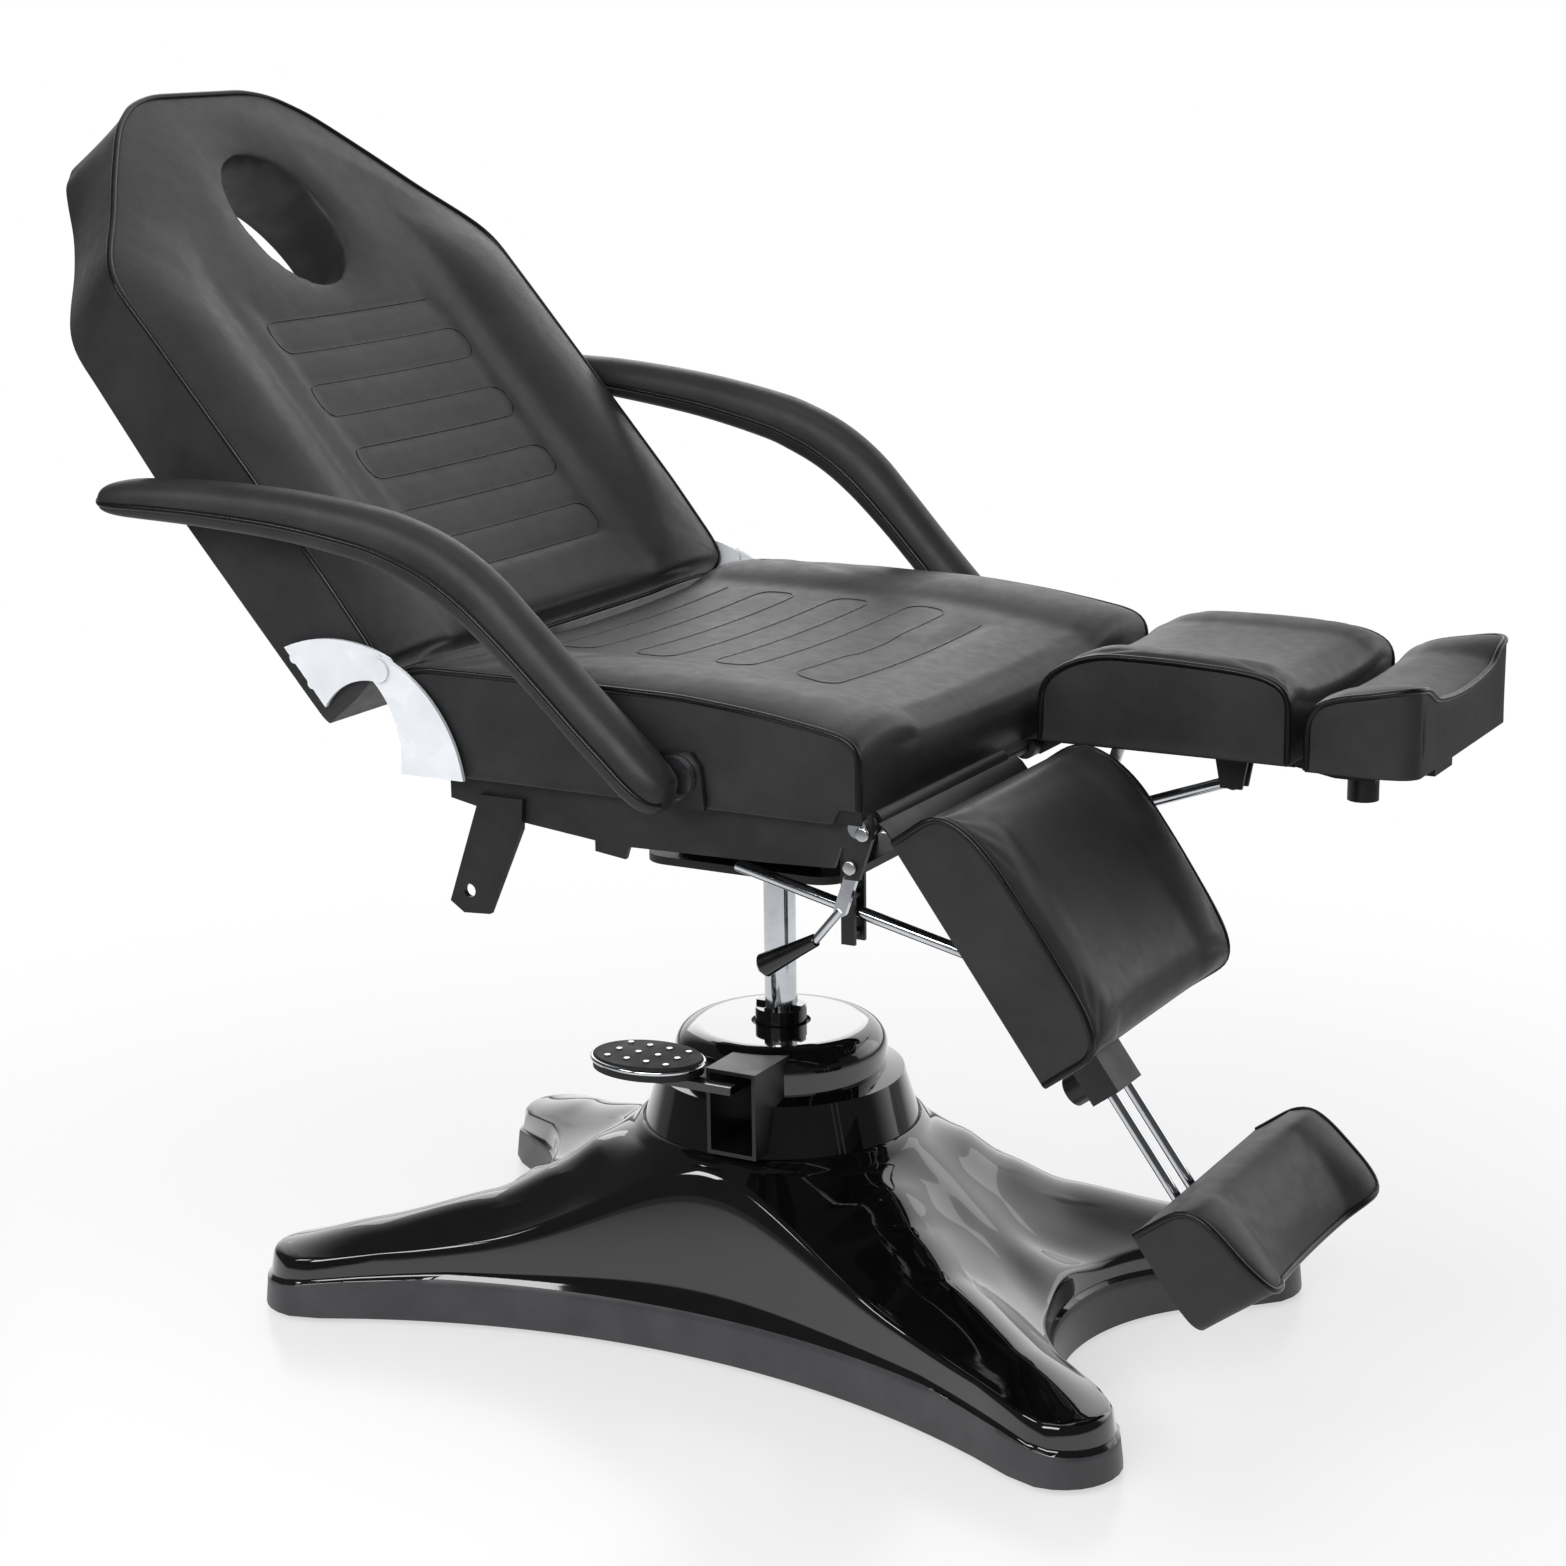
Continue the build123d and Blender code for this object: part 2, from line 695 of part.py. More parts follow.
for name, sign in sides:
    with BuildPart() as hinge_plate:
        with BuildSketch(level.side(far_face(sign, hinge_plate_inner, hinge_plate_outer))):
            with BuildLine():
                ThreePointArc(*hinge_arc)
                ThreePointArc(hinge_arc[2], *hinge_top)
                Line(hinge_top[1], hinge_inner[0])
                ThreePointArc(*hinge_inner)
                Line(hinge_inner[2], hinge_arc[0])
            make_face()
            with Locations(back_pivot):
                Circle(pin_radius + running_fit, mode=Mode.SUBTRACT)
        extrude(amount=hinge_plate_outer - hinge_plate_inner)
        with BuildSketch(level.side(far_face(sign, board_half_width, hinge_plate_inner))):
            with Locations(*hinge_bushes):
                Circle(bush_radius)
        extrude(amount=hinge_plate_inner - board_half_width)
    finish(hinge_plate.part, f"hinge_plate_{name}")

# Armrest brackets on the seat
arm_bracket_plate = 5.0
arm_bracket_inner = back_plate_inner + plate_room
arm_bracket_outer = arm_bracket_inner + arm_bracket_plate
arm_bracket_outline = [
    (x, board_underside + rise)
    for x, rise in (
        (52.0, 1.0),
        (108.0, 1.0),
        (104.0, 40.0),
        (94.0, 52.0),
        (66.0, 52.0),
        (56.0, 40.0),
    )
]
arm_bushes = [(x, board_underside + rise) for x, rise in ((62.0, 7.0), (98.0, 7.0))]
arm_pin_radius = 8.0

for name, sign in sides:
    with BuildPart() as arm_bracket:
        with BuildSketch(level.side(far_face(sign, arm_bracket_inner, arm_bracket_outer))):
            with BuildLine():
                Polyline(*arm_bracket_outline, close=True)
            make_face()
            with Locations(arm_pivot):
                Circle(arm_pin_radius + running_fit, mode=Mode.SUBTRACT)
        extrude(amount=arm_bracket_outer - arm_bracket_inner)
        with BuildSketch(level.side(far_face(sign, board_half_width, arm_bracket_inner))):
            with Locations(*arm_bushes):
                Circle(bush_radius)
        extrude(amount=arm_bracket_inner - board_half_width)
    finish(arm_bracket.part, f"arm_bracket_{name}")

# Backrest board and cushion; the back runs to negative along
back_pull = 2.0
cushion_depth = back_thickness - board_thickness
back_stations = (
    (-16.0, 0.9875, -32.0, -26.0, -32.0, -34.0),
    (-13.0, 0.9938, -16.0, -8.0, -16.0, -18.0),
    (-6.0, 1.0, -4.0, 6.0, -5.0, -7.0),
    (90.0, 1.0, 0.0, 13.0, -4.0, -8.0),
    (240.0, 1.0, 0.0, 14.0, -4.0, -9.0),
    (380.0, 1.0, 0.0, 12.0, -3.0, -7.0),
    (418.0, 0.9969, 0.0, 9.0, -2.0, -5.0),
    (442.0, 0.9563, 0.0, 7.0, -1.0, -4.0),
    (460.0, 0.9156, -1.0, 6.0, -1.0, -3.0),
    (484.0, 0.8906, -1.0, 5.0, 0.0, -2.0),
    (506.0, 0.8125, -1.0, 5.0, 0.0, -2.0),
    (531.0, 0.7125, -1.0, 4.0, 1.0, -1.0),
    (556.0, 0.6281, -1.0, 4.0, 1.0, 2.0),
    (578.0, 0.575, -1.0, 4.0, 2.0, 3.0),
    (612.0, 0.5437, -3.0, 2.0, 1.0, 2.0),
    (632.0, 0.4813, -8.0, -4.0, -4.0, -3.0),
    (646.0, 0.3875, -20.0, -17.0, -16.0, -15.0),
    (653.0, 0.2875, -38.0, -35.0, -35.0, -34.0),
)
back_board_outline = (
    (-12.0, 1.0),
    (421.0, 0.9969),
    (462.0, 0.9054),
    (490.0, 0.8707),
    (533.0, 0.7003),
    (576.0, 0.5678),
    (614.0, 0.53),
    (636.0, 0.4354),
    (648.0, 0.2776),
)
face_hole_place = 488.0
face_hole_length = 160.0
face_hole_width = 130.0
face_hole_relief = 22.0
buffer_place = 118.0
buffer_inset = 15.0
buffer_radius = 9.0
buffer_height = 10.0

with BuildPart() as back_board:
    with BuildSketch(back.top(-back_thickness)):
        with BuildLine():
            upper = [(-along, board_half_width * share) for along, share in back_board_outline]
            lower = [(along, -half) for along, half in reversed(upper)]
            Polyline(*upper, *lower, close=True)
        make_face()
        with Locations((-face_hole_place, 0.0)):
            relieved = (face_hole_length / 2 + face_hole_relief, face_hole_width / 2 + face_hole_relief)
            Ellipse(*relieved, mode=Mode.SUBTRACT)
    extrude(amount=board_thickness)
    with BuildSketch(back.top(-back_thickness)):
        buffer_half = seat_half_width - buffer_inset
        with Locations((-buffer_place, buffer_half), (-buffer_place, -buffer_half)):
            Circle(buffer_radius)
    extrude(amount=-buffer_height)
finish(back_board.part, "back_board")

with BuildPart() as back_cushion:
    sections = []
    for place, half_share, edge, crest, valley, middle in back_stations:
        half = seat_half_width * half_share
        tops = (edge, crest, valley, middle, valley, crest, edge)
        sections.append(pad_face(back.cross(-place), -half, half, -cushion_depth, tops, back_pull))
    loft(sections=sections, ruled=True)
    with BuildSketch(back.top(-back_thickness)):
        with Locations((-face_hole_place, 0.0)):
            Ellipse(face_hole_length / 2, face_hole_width / 2)
    extrude(amount=2 * back_thickness, mode=Mode.SUBTRACT)
finish(back_cushion.part, "back_cushion")

# Hinge plates on the backrest, with the pivot pins
back_arc = [(x, board_underside + rise) for x, rise in ((-348.0, 107.5), (-290.0, 120.0), (-228.4, 107.2))]
back_plate_nose = [(x, board_underside + rise) for x, rise in ((-224.0, 94.0), (-241.4, 83.5))]
back_plate_inside = [(x, board_underside + rise) for x, rise in ((-275.0, 79.0), (-303.0, 54.0))]
back_bushes = ((-22.0, -80.0), (-52.0, -80.0))

for name, sign in sides:
    with BuildPart() as back_plate:
        with BuildSketch(level.side(far_face(sign, back_plate_inner, back_plate_outer))):
            with BuildLine():
                ThreePointArc(*back_arc)
                ThreePointArc(back_arc[2], *back_plate_nose)
                ThreePointArc(back_plate_nose[1], *back_plate_inside)
                Line(back_plate_inside[1], back_arc[0])
            make_face()
        extrude(amount=back_plate_outer - back_plate_inner)
        with BuildSketch(back.side(far_face(sign, board_half_width, back_plate_inner))):
            with Locations(*back_bushes):
                Circle(bush_radius)
        extrude(amount=back_plate_inner - board_half_width)
        head_inner = hinge_plate_outer + plate_gap
        with BuildSketch(level.side(far_face(sign, back_plate_outer, head_inner))):
            with Locations(back_pivot):
                Circle(pin_radius)
        extrude(amount=head_inner - back_plate_outer)
        with BuildSketch(level.side(far_face(sign, head_inner, head_inner + pin_head))):
            with Locations(back_pivot):
                Circle(pin_head_radius)
        extrude(amount=pin_head)
    finish(back_plate.part, f"back_plate_{name}")

# Cranked arm under the backrest and the strut it carries
arm_half_width = 13.0
crank_outline = (
    (-112.0, -87.0),
    (8.0, -87.0),
    (30.0, -98.0),
    (73.0, -109.0),
    (73.0, -128.5),
    (12.0, -108.0),
    (-2.0, -97.0),
    (-112.0, -95.0),
)
crank_eye = (73.0, -118.5)
crank_eye_radius = 10.0
crank_slot_start = 40.0
strut_slope = 11.5
back_strut_length = 440.0
strut_eye_radius = 9.0
strut_eye_half = 6.25
strut_slot_half = 6.4

with BuildPart() as back_arm:
    with BuildSketch(back.side(back_strut_middle + arm_half_width)):
        with BuildLine():
            Polyline(*crank_outline, close=True)
        make_face()
        with Locations(crank_eye):
            Circle(crank_eye_radius)
    extrude(amount=2 * arm_half_width)
    with BuildSketch(back.side(back_strut_middle + strut_slot_half)):
        with Locations((crank_slot_start + crank_eye[0], crank_eye[1])):
            Rectangle(2 * crank_eye[0], 2 * crank_eye[0])
    extrude(amount=2 * strut_slot_half, mode=Mode.SUBTRACT)
    with BuildSketch(back.side(back_strut_middle + arm_half_width)):
        with Locations(crank_eye):
            Circle(pin_radius + running_fit)
    extrude(amount=2 * arm_half_width, mode=Mode.SUBTRACT)
finish(back_arm.part, "back_arm")

strut_root = back.point(crank_eye[0], 0.0, crank_eye[1])
back_strut_line = Datum(strut_root.X, strut_root.Z, -strut_slope)

with BuildPart() as back_strut:
    with BuildSketch(back_strut_line.side(back_strut_middle + strut_eye_half)):
        Circle(strut_eye_radius)
    extrude(amount=2 * strut_eye_half)
    with BuildSketch(back_strut_line.side(back_strut_middle + arm_half_width)):
        Circle(pin_radius)
    extrude(amount=2 * arm_half_width)
    rod_start = back_strut_line.cross(0.0)
    with BuildSketch(rod_start):
        with Locations((back_strut_middle, 0.0)):
            Circle(strut_radius)
    extrude(amount=back_strut_length)
finish(back_strut.part, "back_strut")

# Armrests: each pad is lofted through pillow-shaped sections along a bent line
arm_room = 16.0
arm_inner = seat_half_width + arm_room
arm_outer = arm_inner + armrest_width
arm_crown = 4.0
arm_stations = (
    (105.0, 18.0, 20.0, 0.625),
    (92.0, 28.0, 44.0, 0.917),
    (45.0, 51.0, 47.0, 1.0),
    (-1.0, 95.0, 45.0, 1.0),
    (-47.0, 137.0, 47.0, 1.0),
    (-95.0, 179.0, 53.0, 1.0),
    (-150.0, 212.0, 54.0, 1.0),
    (-215.0, 230.0, 50.0, 1.0),
    (-300.0, 241.0, 44.0, 1.0),
    (-400.0, 247.0, 36.0, 0.979),
    (-475.0, 248.0, 28.0, 0.938),
    (-508.0, 246.0, 18.0, 0.708),
    (-520.0, 244.0, 8.0, 0.375),
)
arm_raise = {"left": 4.5, "right": 0.0}
arm_hub_radius = 20.0
arm_hub_inner = arm_bracket_outer + plate_room
arm_pin_start = arm_bracket_inner - plate_room / 2


def arm_face(spot, ahead, behind, lift, middle):
    """One section of an armrest, square to the line through its neighbours."""
    turn = math.radians(lift)
    places = []
    for x, z in ((row[0], row[1]) for row in (behind, spot, ahead)):
        dx = x - arm_pivot[0]
        dz = board_underside + z - arm_pivot[1]
        new_x = arm_pivot[0] + dx * math.cos(turn) + dz * math.sin(turn)
        new_z = arm_pivot[1] - dx * math.sin(turn) + dz * math.cos(turn)
        places.append((new_x, new_z))
    run = (places[2][0] - places[0][0], places[2][1] - places[0][1])
    size = math.hypot(*run)
    place = Plane((places[1][0], middle, places[1][1]), (0, 1, 0), (-run[0] / size, 0, -run[1] / size))
    half = armrest_width * spot[3] / 2
    rise = spot[2] / 2
    shy = arm_crown * spot[3]
    with BuildSketch(place) as face:
        with BuildLine():
            ThreePointArc((half - shy, -rise + shy), (half, 0.0), (half - shy, rise - shy))
            ThreePointArc((half - shy, rise - shy), (0.0, rise), (-half + shy, rise - shy))
            ThreePointArc((-half + shy, rise - shy), (-half, 0.0), (-half + shy, -rise + shy))
            ThreePointArc((-half + shy, -rise + shy), (0.0, -rise), (half - shy, -rise + shy))
        make_face()
    return face.sketch


for name, sign in sides:
    with BuildPart() as arm_pad:
        sections = []
        last = len(arm_stations) - 1
        for index, row in enumerate(arm_stations):
            ahead = arm_stations[min(index + 1, last)]
            behind = arm_stations[max(index - 1, 0)]
            sections.append(arm_face(row, ahead, behind, arm_raise[name], sign * (arm_inner + arm_outer) / 2))
        loft(sections=sections, ruled=True)
    finish(arm_pad.part, f"arm_pad_{name}")
    with BuildPart() as arm_hub:
        with BuildSketch(level.side(far_face(sign, arm_hub_inner, arm_inner))):
            with Locations(arm_pivot):
                Circle(arm_hub_radius)
        extrude(amount=arm_inner - arm_hub_inner)
        with BuildSketch(level.side(far_face(sign, arm_pin_start, arm_hub_inner))):
            with Locations(arm_pivot):
                Circle(arm_pin_radius)
        extrude(amount=arm_hub_inner - arm_pin_start)
    finish(arm_hub.part, f"arm_hub_{name}")

# Leg rests
leg_pull = 1.5
leg_board_inset = 2.0
leg_board_width = leg_outer - leg_inner - 2 * leg_board_inset
leg_cushion_bottom = board_thickness - leg_thickness
leg_stations = (
    (0.0, -30.0, -28.0, -30.0, -31.0, -30.0, -28.0, -30.0),
    (0.0323, -2.0, 1.0, -4.0, -8.0, -6.0, -2.0, -8.0),
    (0.121, 9.0, 13.0, 6.0, 0.0, 2.0, 7.0, 0.0),
    (0.254, 18.0, 22.0, 12.0, 4.0, 6.0, 12.0, 5.0),
    (0.5242, 18.0, 22.0, 12.0, 4.0, 7.0, 13.0, 6.0),
    (0.8105, 15.0, 19.0, 10.0, 3.0, 6.0, 12.0, 5.0),
    (0.9194, 10.0, 14.0, 6.0, 0.0, 3.0, 8.0, 0.0),
    (0.9758, -4.0, -1.0, -6.0, -10.0, -8.0, -5.0, -12.0),
    (1.0, -26.0, -24.0, -26.0, -27.0, -26.0, -25.0, -30.0),
)
bar_inner = 48.0
bar_width = 24.0
bar_outer = bar_inner + bar_width
far_bar_inset = 41.0
far_bar_outer = leg_outer - far_bar_inset
far_bar_inner = far_bar_outer - bar_width
bar_shortfall = 8.0
bar_end = leg_length - bar_shortfall
bar_outline = (
    (-34.0, -90.0),
    (-30.0, -74.0),
    (0.0, -69.0),
    (bar_end, -69.0),
    (bar_end, -79.0),
    (6.0, -80.0),
    (-16.0, -93.0),
)
sleeve_radius = 12.0
sleeve_inner = 30.0
sleeve_inset = 15.0
sleeve_outer = leg_outer - sleeve_inset
clamp_start = leg_length - 43.0
clamp_step = leg_length - 2.0
clamp_toe = leg_length + 2.0
clamp_end = leg_length + 42.0
clamp_outline = (
    (clamp_start, -69.0),
    (clamp_step, -69.0),
    (clamp_step, -76.0),
    (clamp_end, -76.0),
    (clamp_end, -106.0),
    (clamp_toe, -106.0),
    (clamp_start, -98.0),
)
guide_outline = ((175.0, -69.0), (195.0, -69.0), (195.0, -98.0), (175.0, -98.0))
clamp_half = 26.0
bridge_outline = ((150.0, -69.0), (clamp_start, -69.0), (clamp_start, -75.0), (150.0, -75.0))
rod_radius = 5.0
cheek_outline = ((118.0, -69.0), (164.0, -69.0), (152.0, -132.0), (130.0, -132.0))
cheek_gap = 6.4
cheek_plate = 3.5
knob_reach = 22.0
knob_place = leg_length + knob_reach
knob_top = -107.0
knob_bottom = -130.0
knob_radius = 15.0
knob_stem_top = -94.5
tie_outline = ((150.0, -69.0), (170.0, -69.0), (170.0, -77.0), (150.0, -77.0))

for name, sign in sides:
    leg = leg_datum(0.0 if name == "left" else lowered_leg_angle)
    with BuildPart() as leg_cushion:
        sections = []
        for share, *tops in leg_stations:
            low, high, heights = laid(sign, leg_inner, leg_outer, tops)
            plane = leg.cross(leg_length * share)
            sections.append(pad_face(plane, low, high, leg_cushion_bottom, heights, leg_pull))
        loft(sections=sections, ruled=True)
    finish(leg_cushion.part, f"leg_cushion_{name}")

    with BuildPart() as leg_board:
        with BuildSketch(leg.top(-leg_thickness)):
            with Locations((leg_length / 2, sign * (leg_inner + leg_outer) / 2)):
                RectangleRounded(leg_length - 2 * leg_board_inset, leg_board_width, leg_inner)
        extrude(amount=board_thickness)
    finish(leg_board.part, f"leg_board_{name}")

    with BuildPart() as leg_frame:
        for inner, outer in ((bar_inner, bar_outer), (far_bar_inner, far_bar_outer)):
            with BuildSketch(leg.side(far_face(sign, inner, outer))):
                with BuildLine():
                    Polyline(*bar_outline, close=True)
                make_face()
            extrude(amount=outer - inner)
        with BuildSketch(leg.side(far_face(sign, sleeve_inner, sleeve_outer))):
            with Locations((-leg_origin[0], -leg_origin[1])):
                Circle(sleeve_radius)
        extrude(amount=sleeve_outer - sleeve_inner)
        with BuildSketch(leg.side(far_face(sign, bar_outer, far_bar_inner))):
            with BuildLine():
                Polyline(*tie_outline, close=True)
            make_face()
        extrude(amount=far_bar_inner - bar_outer)
        for outline in (clamp_outline, guide_outline, bridge_outline):
            with BuildSketch(leg.side(sign * rod_pair_middle + clamp_half)):
                with BuildLine():
                    Polyline(*outline, close=True)
                make_face()
            extrude(amount=2 * clamp_half)
        for across in (cheek_gap + cheek_plate, -cheek_gap):
            with BuildSketch(leg.side(sign * rod_pair_middle + across)):
                with BuildLine():
                    Polyline(*cheek_outline, close=True)
                make_face()
                with Locations(strut_pin):
                    Circle(pin_radius + running_fit, mode=Mode.SUBTRACT)
            extrude(amount=cheek_plate)
        with BuildSketch(leg.side(far_face(sign, sleeve_inner, sleeve_outer))):
            with Locations((-leg_origin[0], -leg_origin[1])):
                Circle(axle_radius + running_fit)
        extrude(amount=sleeve_outer - sleeve_inner, mode=Mode.SUBTRACT)
        with BuildSketch(leg.cross(0.0)):
            for offset in (rod_pair_half, -rod_pair_half):
                with Locations((sign * rod_pair_middle + offset, rod_depth)):
                    Circle(rod_radius + running_fit)
        extrude(amount=foot_end, mode=Mode.SUBTRACT)
        with BuildSketch(leg.top(knob_top - overrun)):
            with Locations((knob_place, sign * rod_pair_middle)):
                Circle(pin_radius + running_fit)
        extrude(amount=knob_stem_top - knob_top + 2 * overrun, mode=Mode.SUBTRACT)
    finish(leg_frame.part, f"leg_frame_{name}")

    with BuildPart() as clamp_knob:
        with BuildSketch(leg.top(knob_bottom)):
            with Locations((knob_place, sign * rod_pair_middle)):
                Circle(knob_radius)
        extrude(amount=knob_top - knob_bottom)
        with BuildSketch(leg.top(knob_top)):
            with Locations((knob_place, sign * rod_pair_middle)):
                Circle(pin_radius)
        extrude(amount=knob_stem_top - knob_top)
    finish(clamp_knob.part, f"clamp_knob_{name}")

# Struts of the leg rests, pinned between the cheeks and guided by the forks
raised_strut_slope = 20.0
strut_share = 0.609
leg_strut_length = 281.0

for name, sign in sides:
    lowered = 0.0 if name == "left" else lowered_leg_angle
    root = leg_datum(lowered).point(strut_pin[0], 0.0, strut_pin[1])
    strut_line = Datum(root.X, root.Z, raised_strut_slope - strut_share * lowered)
    with BuildPart() as leg_strut:
        with BuildSketch(strut_line.side(sign * rod_pair_middle + strut_eye_half)):
            Circle(strut_eye_radius)
        extrude(amount=2 * strut_eye_half)
        with BuildSketch(strut_line.side(sign * rod_pair_middle + cheek_gap + cheek_plate)):
            Circle(pin_radius)
        extrude(amount=2 * (cheek_gap + cheek_plate))
        with BuildSketch(strut_line.cross(0.0)):
            with Locations((sign * rod_pair_middle, 0.0)):
                Circle(strut_radius)
        extrude(amount=-leg_strut_length)
    finish(leg_strut.part, f"leg_strut_{name}")

# Foot rests on pairs of sliding rods
foot_board_bottom = -72.0
foot_cushion_bottom = foot_board_bottom + board_thickness
foot_stations = (
    (0.0, -30.0, -28.0, -30.0, -31.0, -30.0, -28.0, -30.0),
    (8.0, -5.0, -2.0, -6.0, -9.0, -6.0, -2.0, -5.0),
    (36.0, 0.0, 4.0, -3.0, -7.0, -3.0, 4.0, 0.0),
    (78.0, 7.0, 11.0, 0.0, -6.0, 0.0, 11.0, 7.0),
    (96.0, 8.0, 12.0, -3.0, -10.0, -3.0, 12.0, 8.0),
    (103.0, 5.0, 9.0, -6.0, -14.0, -6.0, 9.0, 5.0),
)
foot_block_start = 40.0
foot_block_end = 84.0
foot_block_bottom = -94.0
foot_block_half = 26.0
rod_start_place = 40.0

for name, sign in sides:
    leg = leg_datum(0.0 if name == "left" else lowered_leg_angle)
    shift = 0.0 if name == "left" else foot_travel
    start = foot_start + shift
    with BuildPart() as foot_cushion:
        sections = []
        for place, *tops in foot_stations:
            low, high, heights = laid(sign, leg_inner, leg_outer, tops)
            plane = leg.cross(start + place)
            sections.append(pad_face(plane, low, high, foot_cushion_bottom, heights, leg_pull))
        loft(sections=sections, ruled=True)
    finish(foot_cushion.part, f"foot_cushion_{name}")

    with BuildPart() as foot_board:
        with BuildSketch(leg.top(foot_board_bottom)):
            with Locations((start + (foot_end - foot_start) / 2, sign * (leg_inner + leg_outer) / 2)):
                RectangleRounded(foot_end - foot_start - 2 * leg_board_inset, leg_board_width, leg_inner)
        extrude(amount=board_thickness)
    finish(foot_board.part, f"foot_board_{name}")

    with BuildPart() as foot_rods:
        with BuildSketch(leg.cross(start + foot_block_start)):
            with Locations((sign * rod_pair_middle, (foot_board_bottom + foot_block_bottom) / 2)):
                Rectangle(2 * foot_block_half, foot_board_bottom - foot_block_bottom)
        extrude(amount=foot_block_end - foot_block_start)
        with BuildSketch(leg.cross(rod_start_place + shift)):
            for offset in (rod_pair_half, -rod_pair_half):
                with Locations((sign * rod_pair_middle + offset, rod_depth)):
                    Circle(rod_radius)
        extrude(amount=foot_start + foot_block_end - rod_start_place)
    finish(foot_rods.part, f"foot_rods_{name}")

# Release levers below the front corners of the seat
lever_inner = rail_outer - plate
lever_outer = rail_outer - plate_gap
lever_eye_radius = 7.5
lever_link = [(x, board_underside + rise) for x, rise in ((242.0, -43.0), (229.0, -81.0))]
lever_rod_path = [(x, board_underside + rise) for x, rise in ((229.0, -81.0), (203.0, -112.0))]
lever_link_half = 6.0
lever_rod_radius = 4.0
grip_drop = 144.0
grip_end = (148.0, board_underside - grip_drop)
grip_radii = (6.0, 7.5, 11.0, 7.0)
grip_shares = (0.0, 0.35, 0.94, 1.0)

for name, sign in sides:
    middle = sign * (lever_inner + lever_outer) / 2
    link_run = (lever_link[1][0] - lever_link[0][0], lever_link[1][1] - lever_link[0][1])
    link_size = math.hypot(*link_run)
    link_line = Datum(*lever_link[0], math.degrees(math.atan2(link_run[1], link_run[0])))
    rod_run = (lever_rod_path[1][0] - lever_rod_path[0][0], lever_rod_path[1][1] - lever_rod_path[0][1])
    rod_size = math.hypot(*rod_run)
    rod_line = Datum(*lever_rod_path[0], math.degrees(math.atan2(rod_run[1], rod_run[0])))
    grip_run = (grip_end[0] - lever_rod_path[1][0], grip_end[1] - lever_rod_path[1][1])
    grip_size = math.hypot(*grip_run)
    grip_line = Datum(*lever_rod_path[1], math.degrees(math.atan2(grip_run[1], grip_run[0])))
    with BuildPart() as lever_rod:
        with BuildSketch(link_line.side(far_face(sign, lever_inner, lever_outer))):
            Circle(lever_eye_radius)
            with Locations((link_size / 2, 0.0)):
                Rectangle(link_size, 2 * lever_link_half)
            with Locations((link_size, 0.0)):
                Circle(lever_link_half)
        extrude(amount=lever_outer - lever_inner)
        with BuildSketch(level.side(far_face(sign, lever_outer, bracket_outer))):
            with Locations(lever_pivot):
                Circle(lever_pin_radius)
        extrude(amount=bracket_outer - lever_outer)
        with BuildSketch(rod_line.cross(0.0)):
            with Locations((middle, 0.0)):
                Circle(lever_rod_radius)
        extrude(amount=rod_size)
    finish(lever_rod.part, f"lever_rod_{name}")
    with BuildPart() as lever_grip:
        sections = []
        for share, radius in zip(grip_shares, grip_radii):
            with BuildSketch(grip_line.cross(share * grip_size)) as ring:
                with Locations((middle, 0.0)):
                    Circle(radius)
            sections.append(ring.sketch)
        loft(sections=sections, ruled=True)
        add(lever_rod.part, mode=Mode.SUBTRACT)
    finish(lever_grip.part, f"lever_grip_{name}")
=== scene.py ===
import json
import math

import bmesh
import bpy
from mathutils import Matrix, Vector
from mathutils.bvhtree import BVHTree


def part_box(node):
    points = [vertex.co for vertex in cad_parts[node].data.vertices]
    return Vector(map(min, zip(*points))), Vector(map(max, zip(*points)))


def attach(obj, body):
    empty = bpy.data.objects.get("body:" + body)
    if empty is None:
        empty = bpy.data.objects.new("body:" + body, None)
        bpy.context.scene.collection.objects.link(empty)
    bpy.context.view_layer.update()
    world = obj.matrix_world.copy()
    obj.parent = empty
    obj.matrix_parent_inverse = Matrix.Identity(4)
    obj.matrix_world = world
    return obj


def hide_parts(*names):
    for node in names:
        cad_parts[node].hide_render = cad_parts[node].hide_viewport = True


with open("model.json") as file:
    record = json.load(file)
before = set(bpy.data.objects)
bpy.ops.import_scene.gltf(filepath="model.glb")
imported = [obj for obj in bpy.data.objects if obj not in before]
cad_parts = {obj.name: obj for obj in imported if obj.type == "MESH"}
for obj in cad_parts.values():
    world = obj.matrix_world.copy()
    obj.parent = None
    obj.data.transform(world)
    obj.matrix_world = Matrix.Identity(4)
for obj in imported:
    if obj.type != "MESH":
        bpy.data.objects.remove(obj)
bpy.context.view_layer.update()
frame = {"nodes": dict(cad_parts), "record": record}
nodes = frame["nodes"]
bpy.ops.object.select_all(action="DESELECT")
mm = 0.001

# The chair's own slopes and places, in millimetres as in the CAD source
chair = {
    "backOrigin": (-245.3, 710.5),
    "backAngle": 48.9,
    "legPivot": (252.0, 598.0),
    "legOrigin": (25.0, 83.0),
    "nearLegDrop": 53.9,
    "footRun": 130.0,
    "rodDepth": -88.0,
    "rodMiddle": 155.0,
    "rodHalf": 17.0,
    "rodRadius": 5.0,
    "armPivot": (80.0, 629.0),
    "armTurn": 4.5,
    "tip": (413.0, 232.0),
    "tipRadius": 57.0,
    "waist": (326.0, 188.0),
    "draft": 0.165,
}

backTurn = math.radians(chair["backAngle"])
backUp = Vector((-math.cos(backTurn), 0, math.sin(backTurn)))
backOut = Vector((math.sin(backTurn), 0, math.cos(backTurn)))


